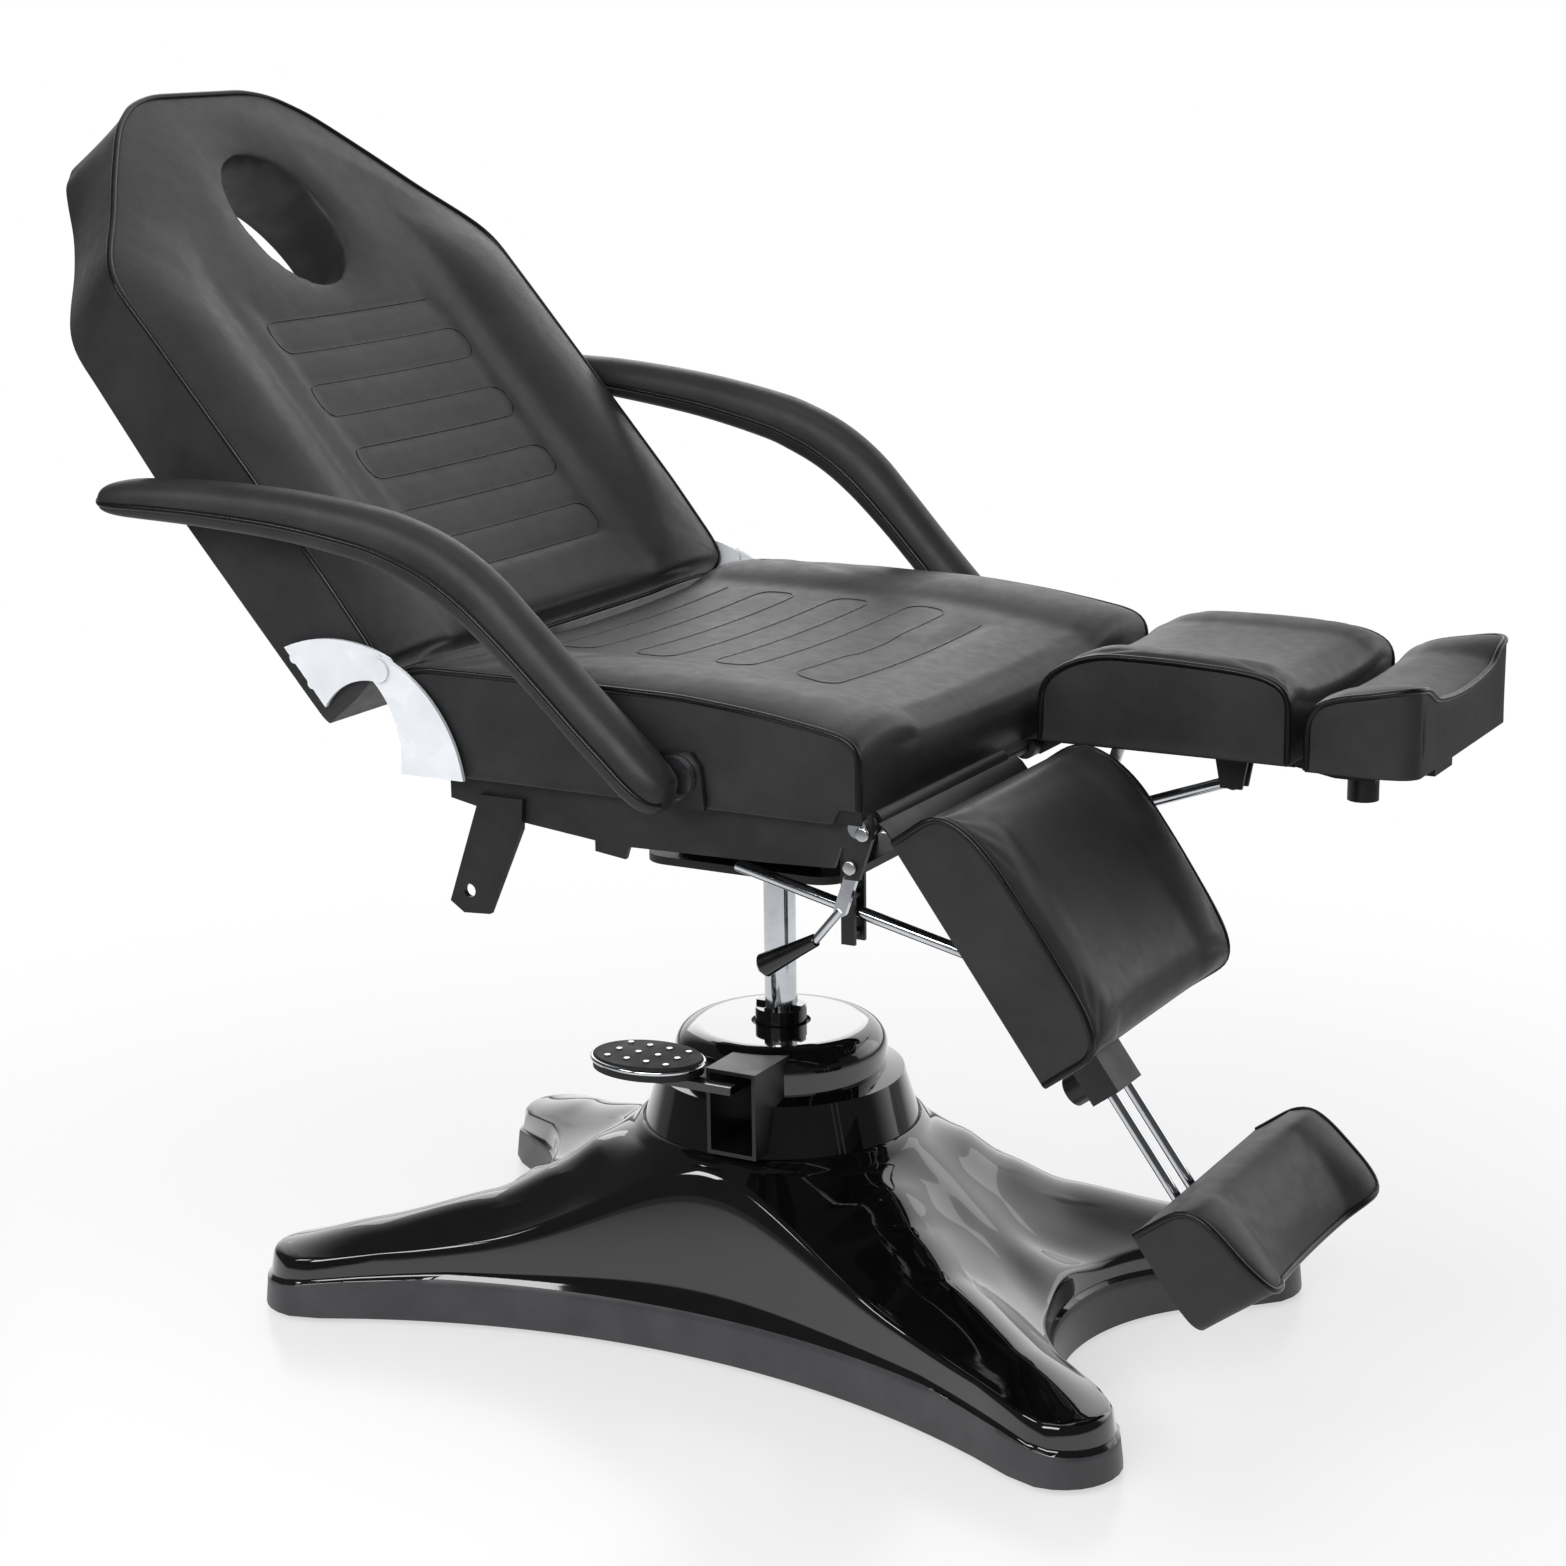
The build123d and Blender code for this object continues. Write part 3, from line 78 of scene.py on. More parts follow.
def seatSpot(x, y, z):
    return Vector((x, y, z)) * mm


def backSpot(u, y, n):
    start = Vector((chair["backOrigin"][0], y, chair["backOrigin"][1]))
    return (start + backUp * u + backOut * n) * mm


def legSpot(along, y, n):
    x = chair["legPivot"][0] + chair["legOrigin"][0] + along
    return Vector((x, y, chair["legPivot"][1] + chair["legOrigin"][1] + n)) * mm


# Turns a left leg rest piece into the right one, which hangs lower
legHinge = Vector((chair["legPivot"][0], 0, chair["legPivot"][1])) * mm
mirrorY = Matrix.Scale(-1, 4, (0, 1, 0))
dropLeg = Matrix.Translation(legHinge) @ Matrix.Rotation(math.radians(chair["nearLegDrop"]), 4, "Y")
toNearLeg = dropLeg @ Matrix.Translation(-legHinge) @ mirrorY
toNearFoot = toNearLeg @ Matrix.Translation((chair["footRun"] * mm, 0, 0))
armHinge = Vector((chair["armPivot"][0], 0, chair["armPivot"][1])) * mm
liftArm = Matrix.Translation(armHinge) @ Matrix.Rotation(math.radians(chair["armTurn"]), 4, "Y")
toFarArm = liftArm @ Matrix.Translation(-armHinge) @ mirrorY


def linear(hexColour):
    channels = []
    for i in (1, 3, 5):
        c = int(hexColour[i : i + 2], 16) / 255
        channels.append(c / 12.92 if c <= 0.04045 else ((c + 0.055) / 1.055) ** 2.4)
    return (*channels, 1.0)


def addNode(tree, kind, settings=None, links=None):
    node = tree.nodes.new(kind)
    for key, value in (settings or {}).items():
        if key in node.inputs:
            node.inputs[key].default_value = value
        else:
            setattr(node, key, value)
    for key, source in (links or {}).items():
        tree.links.new(source, node.inputs[key])
    return node


def startMaterial(name):
    material = bpy.data.materials.new(name)
    material.use_nodes = True
    tree = material.node_tree
    tree.nodes.clear()
    out = addNode(tree, "ShaderNodeOutputMaterial")
    coords = addNode(tree, "ShaderNodeTexCoord").outputs["Object"]
    return material, tree, out, coords


def rampStops(node, stops):
    ramp = node.color_ramp
    while len(ramp.elements) < len(stops):
        ramp.elements.new(0.5)
    for element, (place, colour) in zip(ramp.elements, stops):
        element.position = place
        element.color = colour
    return node.outputs["Color"]


# PVC leathercloth: embossed fine grain over foam, semi-matte, its tone drifts slightly where it is stretched
leatherLook = {
    "leathercloth": {
        "dark": "#262628",
        "light": "#323234",
        "grainMm": 1.6,
        "grainDepth": 0.00018,
        "rough": (0.41, 0.5),
    },
    # the welt and stitch cover: the pad's leathercloth made darker, as painted shade along the seams, and
    # glossier
    "seamShadeLeather": {
        "dark": "#0b0b0c",
        "light": "#141416",
        "grainMm": 1.2,
        "grainDepth": 0.0001,
        "rough": (0.24, 0.34),
    },
}
leatherPattern = {"driftMm": 111.0, "scuffMm": 14.3, "rippleMm": 35.7, "rippleDepth": 0.004}


def makeLeather(name):
    look = leatherLook[name]
    material, tree, out, coords = startMaterial(name)
    cells = addNode(
        tree,
        "ShaderNodeTexVoronoi",
        {"feature": "SMOOTH_F1", "Scale": 1 / (look["grainMm"] * mm), "Smoothness": 0.4},
        {"Vector": coords},
    )
    drift = addNode(
        tree,
        "ShaderNodeTexNoise",
        {"Scale": 1 / (leatherPattern["driftMm"] * mm), "Detail": 4.0, "Roughness": 0.6},
        {"Vector": coords},
    )
    scuff = addNode(
        tree,
        "ShaderNodeTexNoise",
        {"Scale": 1 / (leatherPattern["scuffMm"] * mm), "Detail": 5.0, "Roughness": 0.65},
        {"Vector": coords},
    )
    tone = addNode(tree, "ShaderNodeValToRGB", {}, {"Fac": drift.outputs["Fac"]})
    colour = rampStops(tone, ((0.35, linear(look["dark"])), (0.68, linear(look["light"]))))
    rough = addNode(
        tree,
        "ShaderNodeMapRange",
        {"From Min": 0.3, "From Max": 0.7, "To Min": look["rough"][0], "To Max": look["rough"][1]},
        {"Value": scuff.outputs["Fac"]},
    )
    ripple = addNode(
        tree,
        "ShaderNodeTexNoise",
        {"Scale": 1 / (leatherPattern["rippleMm"] * mm), "Detail": 3.0},
        {"Vector": coords},
    )
    soft = addNode(
        tree,
        "ShaderNodeBump",
        {"Strength": 0.12, "Distance": leatherPattern["rippleDepth"]},
        {"Height": ripple.outputs["Fac"]},
    )
    grain = addNode(
        tree,
        "ShaderNodeBump",
        {"Strength": 0.35, "Distance": look["grainDepth"]},
        {"Height": cells.outputs["Distance"], "Normal": soft.outputs["Normal"]},
    )
    shader = addNode(
        tree,
        "ShaderNodeBsdfPrincipled",
        {"IOR": 1.45, "Specular IOR Level": 0.42},
        {"Base Color": colour, "Roughness": rough.outputs["Result"], "Normal": grain.outputs["Normal"]},
    )
    tree.links.new(shader.outputs["BSDF"], out.inputs["Surface"])
    return material


# Hard finishes from typical values: two tones, roughness, metal, width and strength of peel, clear coat
hardColumns = ("dark", "light", "rough", "metal", "peelMm", "peel", "coat")
hardLook = {
    # thermoformed ABS with a high-gloss acrylic cap: mirror-like with faint orange peel
    "glossAbs": ("#070708", "#0d0d0e", (0.04, 0.08), 0.0, 14.0, 0.05, 1.0),
    # the same ABS below the trim line, left satin by the mould
    "satinAbs": ("#38383b", "#464649", (0.34, 0.44), 0.0, 2.0, 0.06, 0.0),
    # hard chrome over polished steel tube
    "chromePlate": ("#c4c7cc", "#dfe2e6", (0.05, 0.14), 1.0, 3.0, 0.02, 0.0),
    # pale lacquered sheet steel
    "palePlate": ("#dfe3e8", "#eef1f5", (0.2, 0.3), 0.0, 1.0, 0.02, 0.3),
    # zinc plated steel of pin and screw heads
    "zincPlate": ("#b8babd", "#dcdee0", (0.22, 0.34), 1.0, 1.0, 0.04, 0.0),
    # epoxy powder coat on mild steel
    "powderCoat": ("#1a1a1c", "#252528", (0.38, 0.5), 0.0, 0.9, 0.1, 0.0),
    # black stove enamel on the pump linkage
    "stoveEnamel": ("#0a0a0b", "#161617", (0.1, 0.18), 0.0, 5.0, 0.05, 0.8),
    # moulded natural rubber with a bloom in the hollows
    "mouldedRubber": ("#0e0e0f", "#1a1a1b", (0.55, 0.75), 0.0, 0.8, 0.15, 0.0),
    # glossy dipped PVC grip
    "dippedGrip": ("#080809", "#121213", (0.12, 0.2), 0.0, 6.0, 0.04, 0.4),
    # black non-woven dust cover stapled under the boards
    "dustCover": ("#131314", "#232325", (0.8, 0.95), 0.0, 1.5, 0.3, 0.0),
    # moulded nylon of the clamp knobs and of the pedal's guard
    "mouldedNylon": ("#0d0d0e", "#18181a", (0.3, 0.42), 0.0, 0.7, 0.08, 0.0),
}
hardPattern = {"cloudMm": 45.5, "peelDepth": 0.0006, "coatRough": 0.03}


def makeHard(name):
    look = dict(zip(hardColumns, hardLook[name]))
    material, tree, out, coords = startMaterial(name)
    cloud = addNode(
        tree,
        "ShaderNodeTexNoise",
        {"Scale": 1 / (hardPattern["cloudMm"] * mm), "Detail": 5.0, "Roughness": 0.6},
        {"Vector": coords},
    )
    fine = addNode(
        tree,
        "ShaderNodeTexNoise",
        {"Scale": 1 / (look["peelMm"] * mm), "Detail": 3.0, "Roughness": 0.5},
        {"Vector": coords},
    )
    tone = addNode(tree, "ShaderNodeValToRGB", {}, {"Fac": cloud.outputs["Fac"]})
    colour = rampStops(tone, ((0.35, linear(look["dark"])), (0.7, linear(look["light"]))))
    rough = addNode(
        tree,
        "ShaderNodeMapRange",
        {"From Min": 0.3, "From Max": 0.7, "To Min": look["rough"][0], "To Max": look["rough"][1]},
        {"Value": cloud.outputs["Fac"]},
    )
    bump = addNode(
        tree,
        "ShaderNodeBump",
        {"Strength": look["peel"], "Distance": hardPattern["peelDepth"]},
        {"Height": fine.outputs["Fac"]},
    )
    shader = addNode(
        tree,
        "ShaderNodeBsdfPrincipled",
        {"Metallic": look["metal"], "Coat Weight": look["coat"], "Coat Roughness": hardPattern["coatRough"]},
        {"Base Color": colour, "Roughness": rough.outputs["Result"], "Normal": bump.outputs["Normal"]},
    )
    tree.links.new(shader.outputs["BSDF"], out.inputs["Surface"])
    return material


finish = {name: makeLeather(name) for name in leatherLook}
finish.update({name: makeHard(name) for name in hardLook})

# The record's slots and the finish each one gets
slotFinish = {
    "gloss_shell": "glossAbs",
    "black_steel": "powderCoat",
    "grey_steel": "stoveEnamel",
    "foot_rubber": "mouldedRubber",
    "grip_rubber": "dippedGrip",
    "chromed_steel": "chromePlate",
    "bright_plate": "palePlate",
    "backing_board": "dustCover",
    "black_upholstery": "leathercloth",
    "arm_upholstery": "leathercloth",
    "knob_plastic": "mouldedNylon",
}
# Nodes whose finish differs from that of the rest of their slot
nodeFinish = {
    "column_gland": "stoveEnamel",
    "slot_guard": "mouldedNylon",
    "arm_hub_left": "zincPlate",
    "arm_hub_right": "zincPlate",
}
for sub in frame["record"]["subparts"]:
    mesh = nodes[sub["node"]].data
    mesh.materials.clear()
    mesh.materials.append(finish[nodeFinish.get(sub["node"], slotFinish[sub["material_slot"]])])


def secondFinish(node, name, chosen):
    # A second finish on the faces of a CAD node that a test picks by their middle
    mesh = nodes[node].data
    mesh.materials.append(finish[name])
    for face in mesh.polygons:
        if chosen(face.center):
            face.material_index = len(mesh.materials) - 1


# Where a CAD node changes finish: painted length of the axle, skin of the rods, rise of the tread's studs
splitLook = {"axlePainted": 308.5, "rodSkin": 0.4, "studRise": 1.1}


def blockTest(side):
    # The rods' block under a foot rest lies off the lines of the two rods
    def offRods(middle):
        spot = ((toNearLeg.inverted() @ middle) if side == "right" else middle) / mm
        rise = spot.z - chair["legPivot"][1] - chair["legOrigin"][1] - chair["rodDepth"]
        across = abs(abs(spot.y) - chair["rodMiddle"]) - chair["rodHalf"]
        return math.hypot(rise, across) > chair["rodRadius"] + splitLook["rodSkin"]

    return offRods


for side in ("left", "right"):
    secondFinish(f"foot_rods_{side}", "powderCoat", blockTest(side))
secondFinish("front_axle", "powderCoat", lambda middle: abs(middle.y) < splitLook["axlePainted"] * mm)
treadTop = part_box("pedal_tread")[1][2] - splitLook["studRise"] * mm
secondFinish("pedal_tread", "zincPlate", lambda middle: middle.z > treadTop)
print("materials made and given to the CAD nodes")


def pick(obj):
    # Makes one piece the only one that the next operator works on
    bpy.ops.object.select_all(action="DESELECT")
    obj.select_set(True)
    bpy.context.view_layer.objects.active = obj


def applyModifier(obj, kind, settings):
    modifier = obj.modifiers.new(kind.title(), kind)
    for key, value in settings.items():
        setattr(modifier, key, value)
    pick(obj)
    bpy.ops.object.modifier_apply(modifier=modifier.name)


def shadeSmooth(obj, degrees=40):
    pick(obj)
    bpy.ops.object.shade_smooth_by_angle(angle=math.radians(degrees))


def settle(obj, name, body, material):
    # Names a finished piece and gives it its finish and its body
    obj.name = name
    obj.data.name = name
    if material:
        obj.data.materials.clear()
        obj.data.materials.append(finish[material])
    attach(obj, body)
    return obj


def copyAcross(obj, name, matrix):
    # A mirrored or moved copy with its own mesh, its place kept in the mesh
    copy = obj.copy()
    copy.data = obj.data.copy()
    copy.name = name
    copy.data.name = name
    bpy.context.scene.collection.objects.link(copy)
    copy.parent = None
    copy.matrix_world = Matrix.Identity(4)
    copy.data.transform(matrix)
    if matrix.determinant() < 0:
        copy.data.flip_normals()
    return copy


def meshPiece(name, points, faces, finishes):
    # A new piece from its points and faces, with the faces turned outwards
    mesh = bpy.data.meshes.new(name)
    mesh.from_pydata(points, [], faces)
    for entry in finishes:
        mesh.materials.append(finish[entry])
    piece = bpy.data.objects.new(name, mesh)
    bpy.context.scene.collection.objects.link(piece)
    work = bmesh.new()
    work.from_mesh(mesh)
    bmesh.ops.recalc_face_normals(work, faces=work.faces)
    work.to_mesh(mesh)
    work.free()
    return piece


# Upholstery: each pad is a grid laid over its CAD solids, and its sides and heights are read from them
padLook = {
    "seatPad": {
        "solids": ("seat_cushion", "seat_board"),
        "origin": (0.0, 0.0, 650.0),
        "turn": 0.0,
        "cells": (60, 84, 12),
        "overhang": 236.0,
        "cap": 3.0,
        "crisp": 226.0,
        "brow": 24.0,
    },
    "backPad": {
        "solids": ("back_cushion", "back_board"),
        "origin": (chair["backOrigin"][0], 0.0, chair["backOrigin"][1]),
        "turn": chair["backAngle"],
        "cells": (96, 84, 11),
        "cap": 3.0,
        "hole": {"at": 493.0, "long": 84.0, "wide": 71.0, "flare": 22.0},
        "outline": (
            (400, 319), (420, 319.5), (436, 318), (453, 311), (470, 297), (488, 280), (512, 255), (553, 220),
            (570, 204), (591, 185), (617, 160), (630, 148), (638, 137), (645, 122), (652, 94), (657, 62),
        ),  # half widths at places along the back
        "crisp": 596.0,
        "bottom": -87.0,
        "flat": (425.0, 505.0, -2.0),
        "taper": ((250, 2), (420, 15), (459, 21), (557, 20), (606, 3), (637, -6), (657, -16)),
    },
    "legPadLeft": {
        "solids": ("leg_cushion_left", "leg_board_left"),
        "origin": (0.0, 0.0, 650.0),
        "turn": 0.0,
        "cells": (44, 48, 10),
        "cap": 2.0,
        "crisp": 490.0,
        "brow": 26.0,
    },
    "footPadLeft": {
        "solids": ("foot_cushion_left", "foot_board_left"),
        "origin": (0.0, 0.0, 650.0),
        "turn": 0.0,
        "cells": (24, 48, 10),
        "cap": 1.6,
        "corner": 24.0,
    },
}
seamLook = {"groove": 2.2, "grooveWidth": 5.0, "wallGroove": 0.7, "inset": 1.2, "pull": 1.5}

# How the CAD solids are read: length and place of the rays, and the widths that the results are eased over
readLook = {
    "reach": 400.0,
    "aside": 80.0,
    "probe": 0.3,
    "margin": 0.4,
    "levelShare": 0.3,
    "sideEase": 14.0,
    "topEase": 12.0,
    "leanEase": 20.0,
    "bunch": 0.8,
}
# A pad's foam, blown out against the cover and held near the board and near each seam
foamLook = {"frames": 20, "pressure": 4.0, "heldFloor": 14.0, "heldSeam": 6.0}


def spread(count, start, end, bunch):
    # Places from start to end, closer together near both ends
    shares = [i / count for i in range(count + 1)]
    return [start + (end - start) * (s - bunch * math.sin(2 * math.pi * s) / (2 * math.pi)) for s in shares]


def eased(places, values, width):
    # Smooths values over a real distance, with both ends held
    result = []
    for place, value in zip(places, values):
        room = min(place - places[0], places[-1] - place)
        reach = max(1e-6, min(width, room * 0.6))
        weights = [math.exp(-(((other - place) / reach) ** 2)) for other in places]
        result.append(sum(w * v for w, v in zip(weights, values)) / sum(weights) if room > 1e-6 else value)
    return result


def between(rows, place):
    # A value read off a table of places and values, held past both ends
    if place <= rows[0][0]:
        return rows[0][1]
    for (start, first), (end, second) in zip(rows, rows[1:]):
        if place <= end:
            return first + (second - first) * (place - start) / (end - start)
    return rows[-1][1]


class PadGrid:
    # A pad's grid: i runs along it, j across it and k up through it
    def __init__(self, name):
        look = self.look = padLook[name]
        turn = math.radians(look["turn"])
        self.origin = Vector(look["origin"]) * mm
        self.along = Vector((-math.cos(turn), 0, math.sin(turn))) if turn else Vector((1, 0, 0))
        self.out = Vector((math.sin(turn), 0, math.cos(turn)))
        self.trees = [surfaceTree(nodes[node]) for node in look["solids"]]
        self.cells = look["cells"]
        self.hole = look.get("hole")
        spots = [v.co - self.origin for v in nodes[look["solids"][0]].data.vertices]
        runs = [spot.dot(self.along) for spot in spots]
        margin = readLook["margin"] * mm
        end = look["outline"][-1][0] * mm if "outline" in look else max(runs) - margin
        self.places = spread(self.cells[0], min(runs) + margin, end, 0.82)
        self.heights = spread(self.cells[2], 0.0, 1.0, 0.6)
        self.reads = [min(place, look.get("crisp", 2 * readLook["reach"]) * mm) for place in self.places]
        self.readSides(sum(spot.y for spot in spots) / len(spots))
        self.readHeights()
        self.shapeHeights()

    def spot(self, along, across, rise):
        return self.origin + self.along * along + Vector((0, across, 0)) + self.out * rise

    def cast(self, tree, start, way):
        hit = tree.ray_cast(start, way, 2 * readLook["reach"] * mm)[0]
        return hit - self.origin if hit else None

    def readSides(self, middle):
        look = self.look
        reach, aside = readLook["reach"] * mm, readLook["aside"] * mm
        share = readLook["levelShare"]
        self.lows, self.highs = [], []
        for along in self.reads:
            tall = self.cast(self.trees[0], self.spot(along, middle + aside, reach), -self.out)
            deep = self.cast(self.trees[0], self.spot(along, middle + aside, -reach), self.out)
            level = deep.dot(self.out) * (1 - share) + tall.dot(self.out) * share
            for found, sign in ((self.lows, 1), (self.highs, -1)):
                start = self.spot(along, middle - sign * 2 * reach, level)
                found.append(self.cast(self.trees[0], start, Vector((0, sign, 0))).y)
        self.trim()
        self.leans = [0.0] * len(self.places)
        if "taper" in look:
            leans = [between(look["taper"], along / mm) * mm for along in self.places]
            self.leans = eased(self.places, leans, readLook["leanEase"] * mm)
        self.lows = eased(self.places, self.lows, readLook["sideEase"] * mm)
        self.highs = eased(self.places, self.highs, readLook["sideEase"] * mm)

    def readHeights(self):
        reach, probe = readLook["reach"] * mm, readLook["probe"] * mm
        self.tops, self.bottoms = [], []
        for along, low, high in zip(self.reads, self.lows, self.highs):
            tops, bottoms = [], []
            for across in spread(self.cells[1], low + probe, high - probe, readLook["bunch"]):
                top = self.cast(self.trees[0], self.spot(along, across, reach), -self.out)
                under = [self.cast(tree, self.spot(along, across, -reach), self.out) for tree in self.trees]
                tops.append(top.dot(self.out) if top else None)
                bottoms.append(min(hit.dot(self.out) for hit in under if hit) if any(under) else None)
            self.tops.append(tops)
            self.bottoms.append(bottoms)
        self.mend(self.tops)
        self.mend(self.bottoms)

    def shapeHeights(self):
        look = self.look
        deepest = min(min(row) for row in self.bottoms)
        if "flat" in look:
            start, end, level = (value * mm for value in look["flat"])
            for along, row in zip(self.places, self.tops):
                share = min(1.0, max(0.0, (along - start) / (end - start)))
                share = share * share * (3 - 2 * share)
                row[:] = [value + (level - value) * share for value in row]
        brow = look.get("brow", 0.0) * mm
        for along, row in zip(self.places, self.tops):
            left = self.places[-1] - along
            if left < brow:
                row[:] = [value - brow + math.sqrt(brow**2 - (brow - left) ** 2) for value in row]
        if "bottom" in look:
            self.bottoms = [[look["bottom"] * mm] * len(row) for row in self.bottoms]
        for along, row in zip(self.places, self.bottoms):
            if along < look.get("overhang", 2 * readLook["reach"]) * mm:
                row[:] = [deepest] * len(row)
        for j in range(self.cells[1] + 1):
            column = eased(self.places, [row[j] for row in self.tops], readLook["topEase"] * mm)
            for row, value in zip(self.tops, column):
                row[j] = value

    def trim(self):
        # The outline where the photograph gives it, and rounded corners at the far end
        rows = self.look.get("outline")
        radius = self.look.get("corner", 0.0) * mm
        for number, along in enumerate(self.places):
            if rows and along >= rows[0][0] * mm:
                half = between(rows, along / mm)
                self.lows[number], self.highs[number] = -half * mm, half * mm
            left = self.places[-1] - along
            if left < radius:
                cut = radius - math.sqrt(radius**2 - (radius - left) ** 2)
                self.lows[number] += cut
                self.highs[number] -= cut

    def mend(self, rows):
        # Where a ray met nothing, the height comes from the nearest place in its row
        for row in rows:
            known = [j for j, value in enumerate(row) if value is not None]
            for j, value in enumerate(row):
                if value is None:
                    row[j] = row[min(known, key=lambda other: abs(other - j))]

    def plan(self, i, j, h):
        along = self.places[i]
        across = spread(self.cells[1], self.lows[i], self.highs[i], readLook["bunch"])[j]
        lean = self.leans[i] * (1 - h) ** 1.5
        across -= lean * (across / self.highs[i]) ** 3
        if not self.hole:
            return along, across
        centre, long, wide = (self.hole[key] * mm for key in ("at", "long", "wide"))
        du, dv = along - centre, across
        size = math.hypot(du / long, dv / wide)
        if 1e-6 < size < 3.5:
            rim = math.hypot(du, dv) / size
            edge = self.rim(i, j)
            target = rim if edge else math.hypot(du, dv)
            flare = self.hole["flare"] * mm * (1 - h) ** 1.5
            target += flare * math.exp(-max(0.0, target - rim) / 0.03) if size > 0.9 or edge else 0.0
            k = target / math.hypot(du, dv)
            du, dv = du * k, dv * k
        return centre + du, dv

    def gone(self, i, j):
        if not self.hole or not (0 <= i < self.cells[0] and 0 <= j < self.cells[1]):
            return False
        a = (self.places[i] + self.places[i + 1]) / 2 - self.hole["at"] * mm
        row = spread(self.cells[1], self.lows[i], self.highs[i], readLook["bunch"])
        b = (row[j] + row[j + 1]) / 2
        return math.hypot(a / (self.hole["long"] * mm), b / (self.hole["wide"] * mm)) < 1.0

    def rim(self, i, j):
        around = [self.gone(i + a, j + b) for a in (-1, 0) for b in (-1, 0)]
        return any(around) and not all(around)

    def corner(self, i, j, k):
        h = self.heights[k]
        along, across = self.plan(i, j, h)
        low, high = self.bottoms[i][j], self.tops[i][j]
        return self.spot(along, across, low + (high - low) * h)


def padMesh(name, grid, welted):
    lastI, lastJ, lastK = grid.cells
    numbers, points, faces, under = {}, [], [], []

    def number(i, j, k):
        if (i, j, k) not in numbers:
            numbers[(i, j, k)] = len(points)
            points.append(pressed(grid, i, j, k, welted))
        return numbers[(i, j, k)]

    def quad(*corners):
        faces.append([number(*corner) for corner in corners])
        under.append(all(corner[2] == 0 for corner in corners))

    for i in range(lastI):
        for j in range(lastJ):
            if grid.gone(i, j):
                continue
            for k in (0, lastK):
                quad((i, j, k), (i + 1, j, k), (i + 1, j + 1, k), (i, j + 1, k))
            around = (
                ((i, j), (i + 1, j), (i, j - 1)),
                ((i, j + 1), (i + 1, j + 1), (i, j + 1)),
                ((i, j), (i, j + 1), (i - 1, j)),
                ((i + 1, j), (i + 1, j + 1), (i + 1, j)),
            )
            for a, b, beside in around:
                if grid.gone(*beside):
                    for k in range(lastK):
                        quad((*a, k), (*b, k), (*b, k + 1), (*a, k + 1))
    for k in range(lastK):
        for i in range(lastI):
            for j in (0, lastJ):
                quad((i, j, k), (i + 1, j, k), (i + 1, j, k + 1), (i, j, k + 1))
        for j in range(lastJ):
            for i in (0, lastI):
                quad((i, j, k), (i, j + 1, k), (i, j + 1, k + 1), (i, j, k + 1))
    pad = meshPiece(name, points, faces, ("leathercloth", "dustCover"))
    for face, below in zip(pad.data.polygons, under):
        face.material_index = 1 if below else 0
    return pad


def pressed(grid, i, j, k, welted):
    # The cover dips beside each welt, on the face and on the wall, and draws in at mid height
    lastI, lastJ, lastK = grid.cells
    point = grid.corner(i, j, k)
    groove, width, pull = (seamLook[key] * mm for key in ("groove", "grooveWidth", "pull"))
    h = grid.heights[k]
    depth = (grid.tops[i][j] - grid.bottoms[i][j]) * (1 - h)
    wallDip = groove * seamLook["wallGroove"] * math.exp(-((depth / width) ** 2))
    bow = pull * h * (1 - h)
    side = 1 if j == lastJ else -1 if j == 0 else 0
    end = 1 if i == lastI else -1 if i == 0 else 0
    if k == lastK:
        near = 1.0
        if "sides" in welted:
            near = min(near, point.y - grid.lows[i], grid.highs[i] - point.y)
        if "far" in welted:
            near = min(near, grid.places[-1] - grid.places[i])
        if "near" in welted:
            near = min(near, grid.places[i] - grid.places[0])
        point = point - grid.out * groove * math.exp(-((max(0.0, near) / width) ** 2))
    if side:
        point.y -= side * (4 * bow + wallDip)
    if end:
        sewn = ("far" if end == 1 else "near") in welted
        point = point - grid.along * end * (2 * bow + (wallDip if sewn else 0.0))
    return point


def edgeLine(grid, places):
    # A welt's path through grid corners, drawn a little into the pad
    lastI, lastJ, lastK = grid.cells
    inset = seamLook["inset"] * mm
    line = []
    for i, j, k in places:
        point = grid.corner(i, j, k)
        if k == lastK:
            point = point - grid.out * inset
        point.y -= inset if j == lastJ else -inset if j == 0 else 0.0
        if i in (0, lastI):
            point = point - grid.along * (inset if i == lastI else -inset)
        line.append(point)
    return line


def sideEdges(grid):
    # Up, over and down each long side
    lastI, lastJ, lastK = grid.cells
    paths = []
    for j in (0, lastJ):
        up = [(0, j, k) for k in range(1, lastK)]
        over = [(i, j, lastK) for i in range(lastI + 1)]
        down = [(lastI, j, k) for k in range(lastK - 1, 0, -1)]
        paths.append(edgeLine(grid, up + over + down))
    return paths


def roundFace(grid):
    # Along one side of the face, across the far end and back along the other side
    lastI, lastJ, lastK = grid.cells
    there = [(i, 0, lastK) for i in range(lastI + 1)]
    across = [(lastI, j, lastK) for j in range(1, lastJ)]
    back = [(i, lastJ, lastK) for i in range(lastI, -1, -1)]
    return there + across + back


def loopEdge(grid):
    # Round the whole face
    lastJ, lastK = grid.cells[1:]
    return [edgeLine(grid, roundFace(grid) + [(0, j, lastK) for j in range(lastJ - 1, 0, -1)])]


def bowEdge(grid):
    # Round three sides of the face and down both near corners
    lastJ, lastK = grid.cells[1:]
    up = [(0, 0, k) for k in range(1, lastK)]
    down = [(0, lastJ, k) for k in range(lastK - 1, 0, -1)]
    return [edgeLine(grid, up + roundFace(grid) + down)]


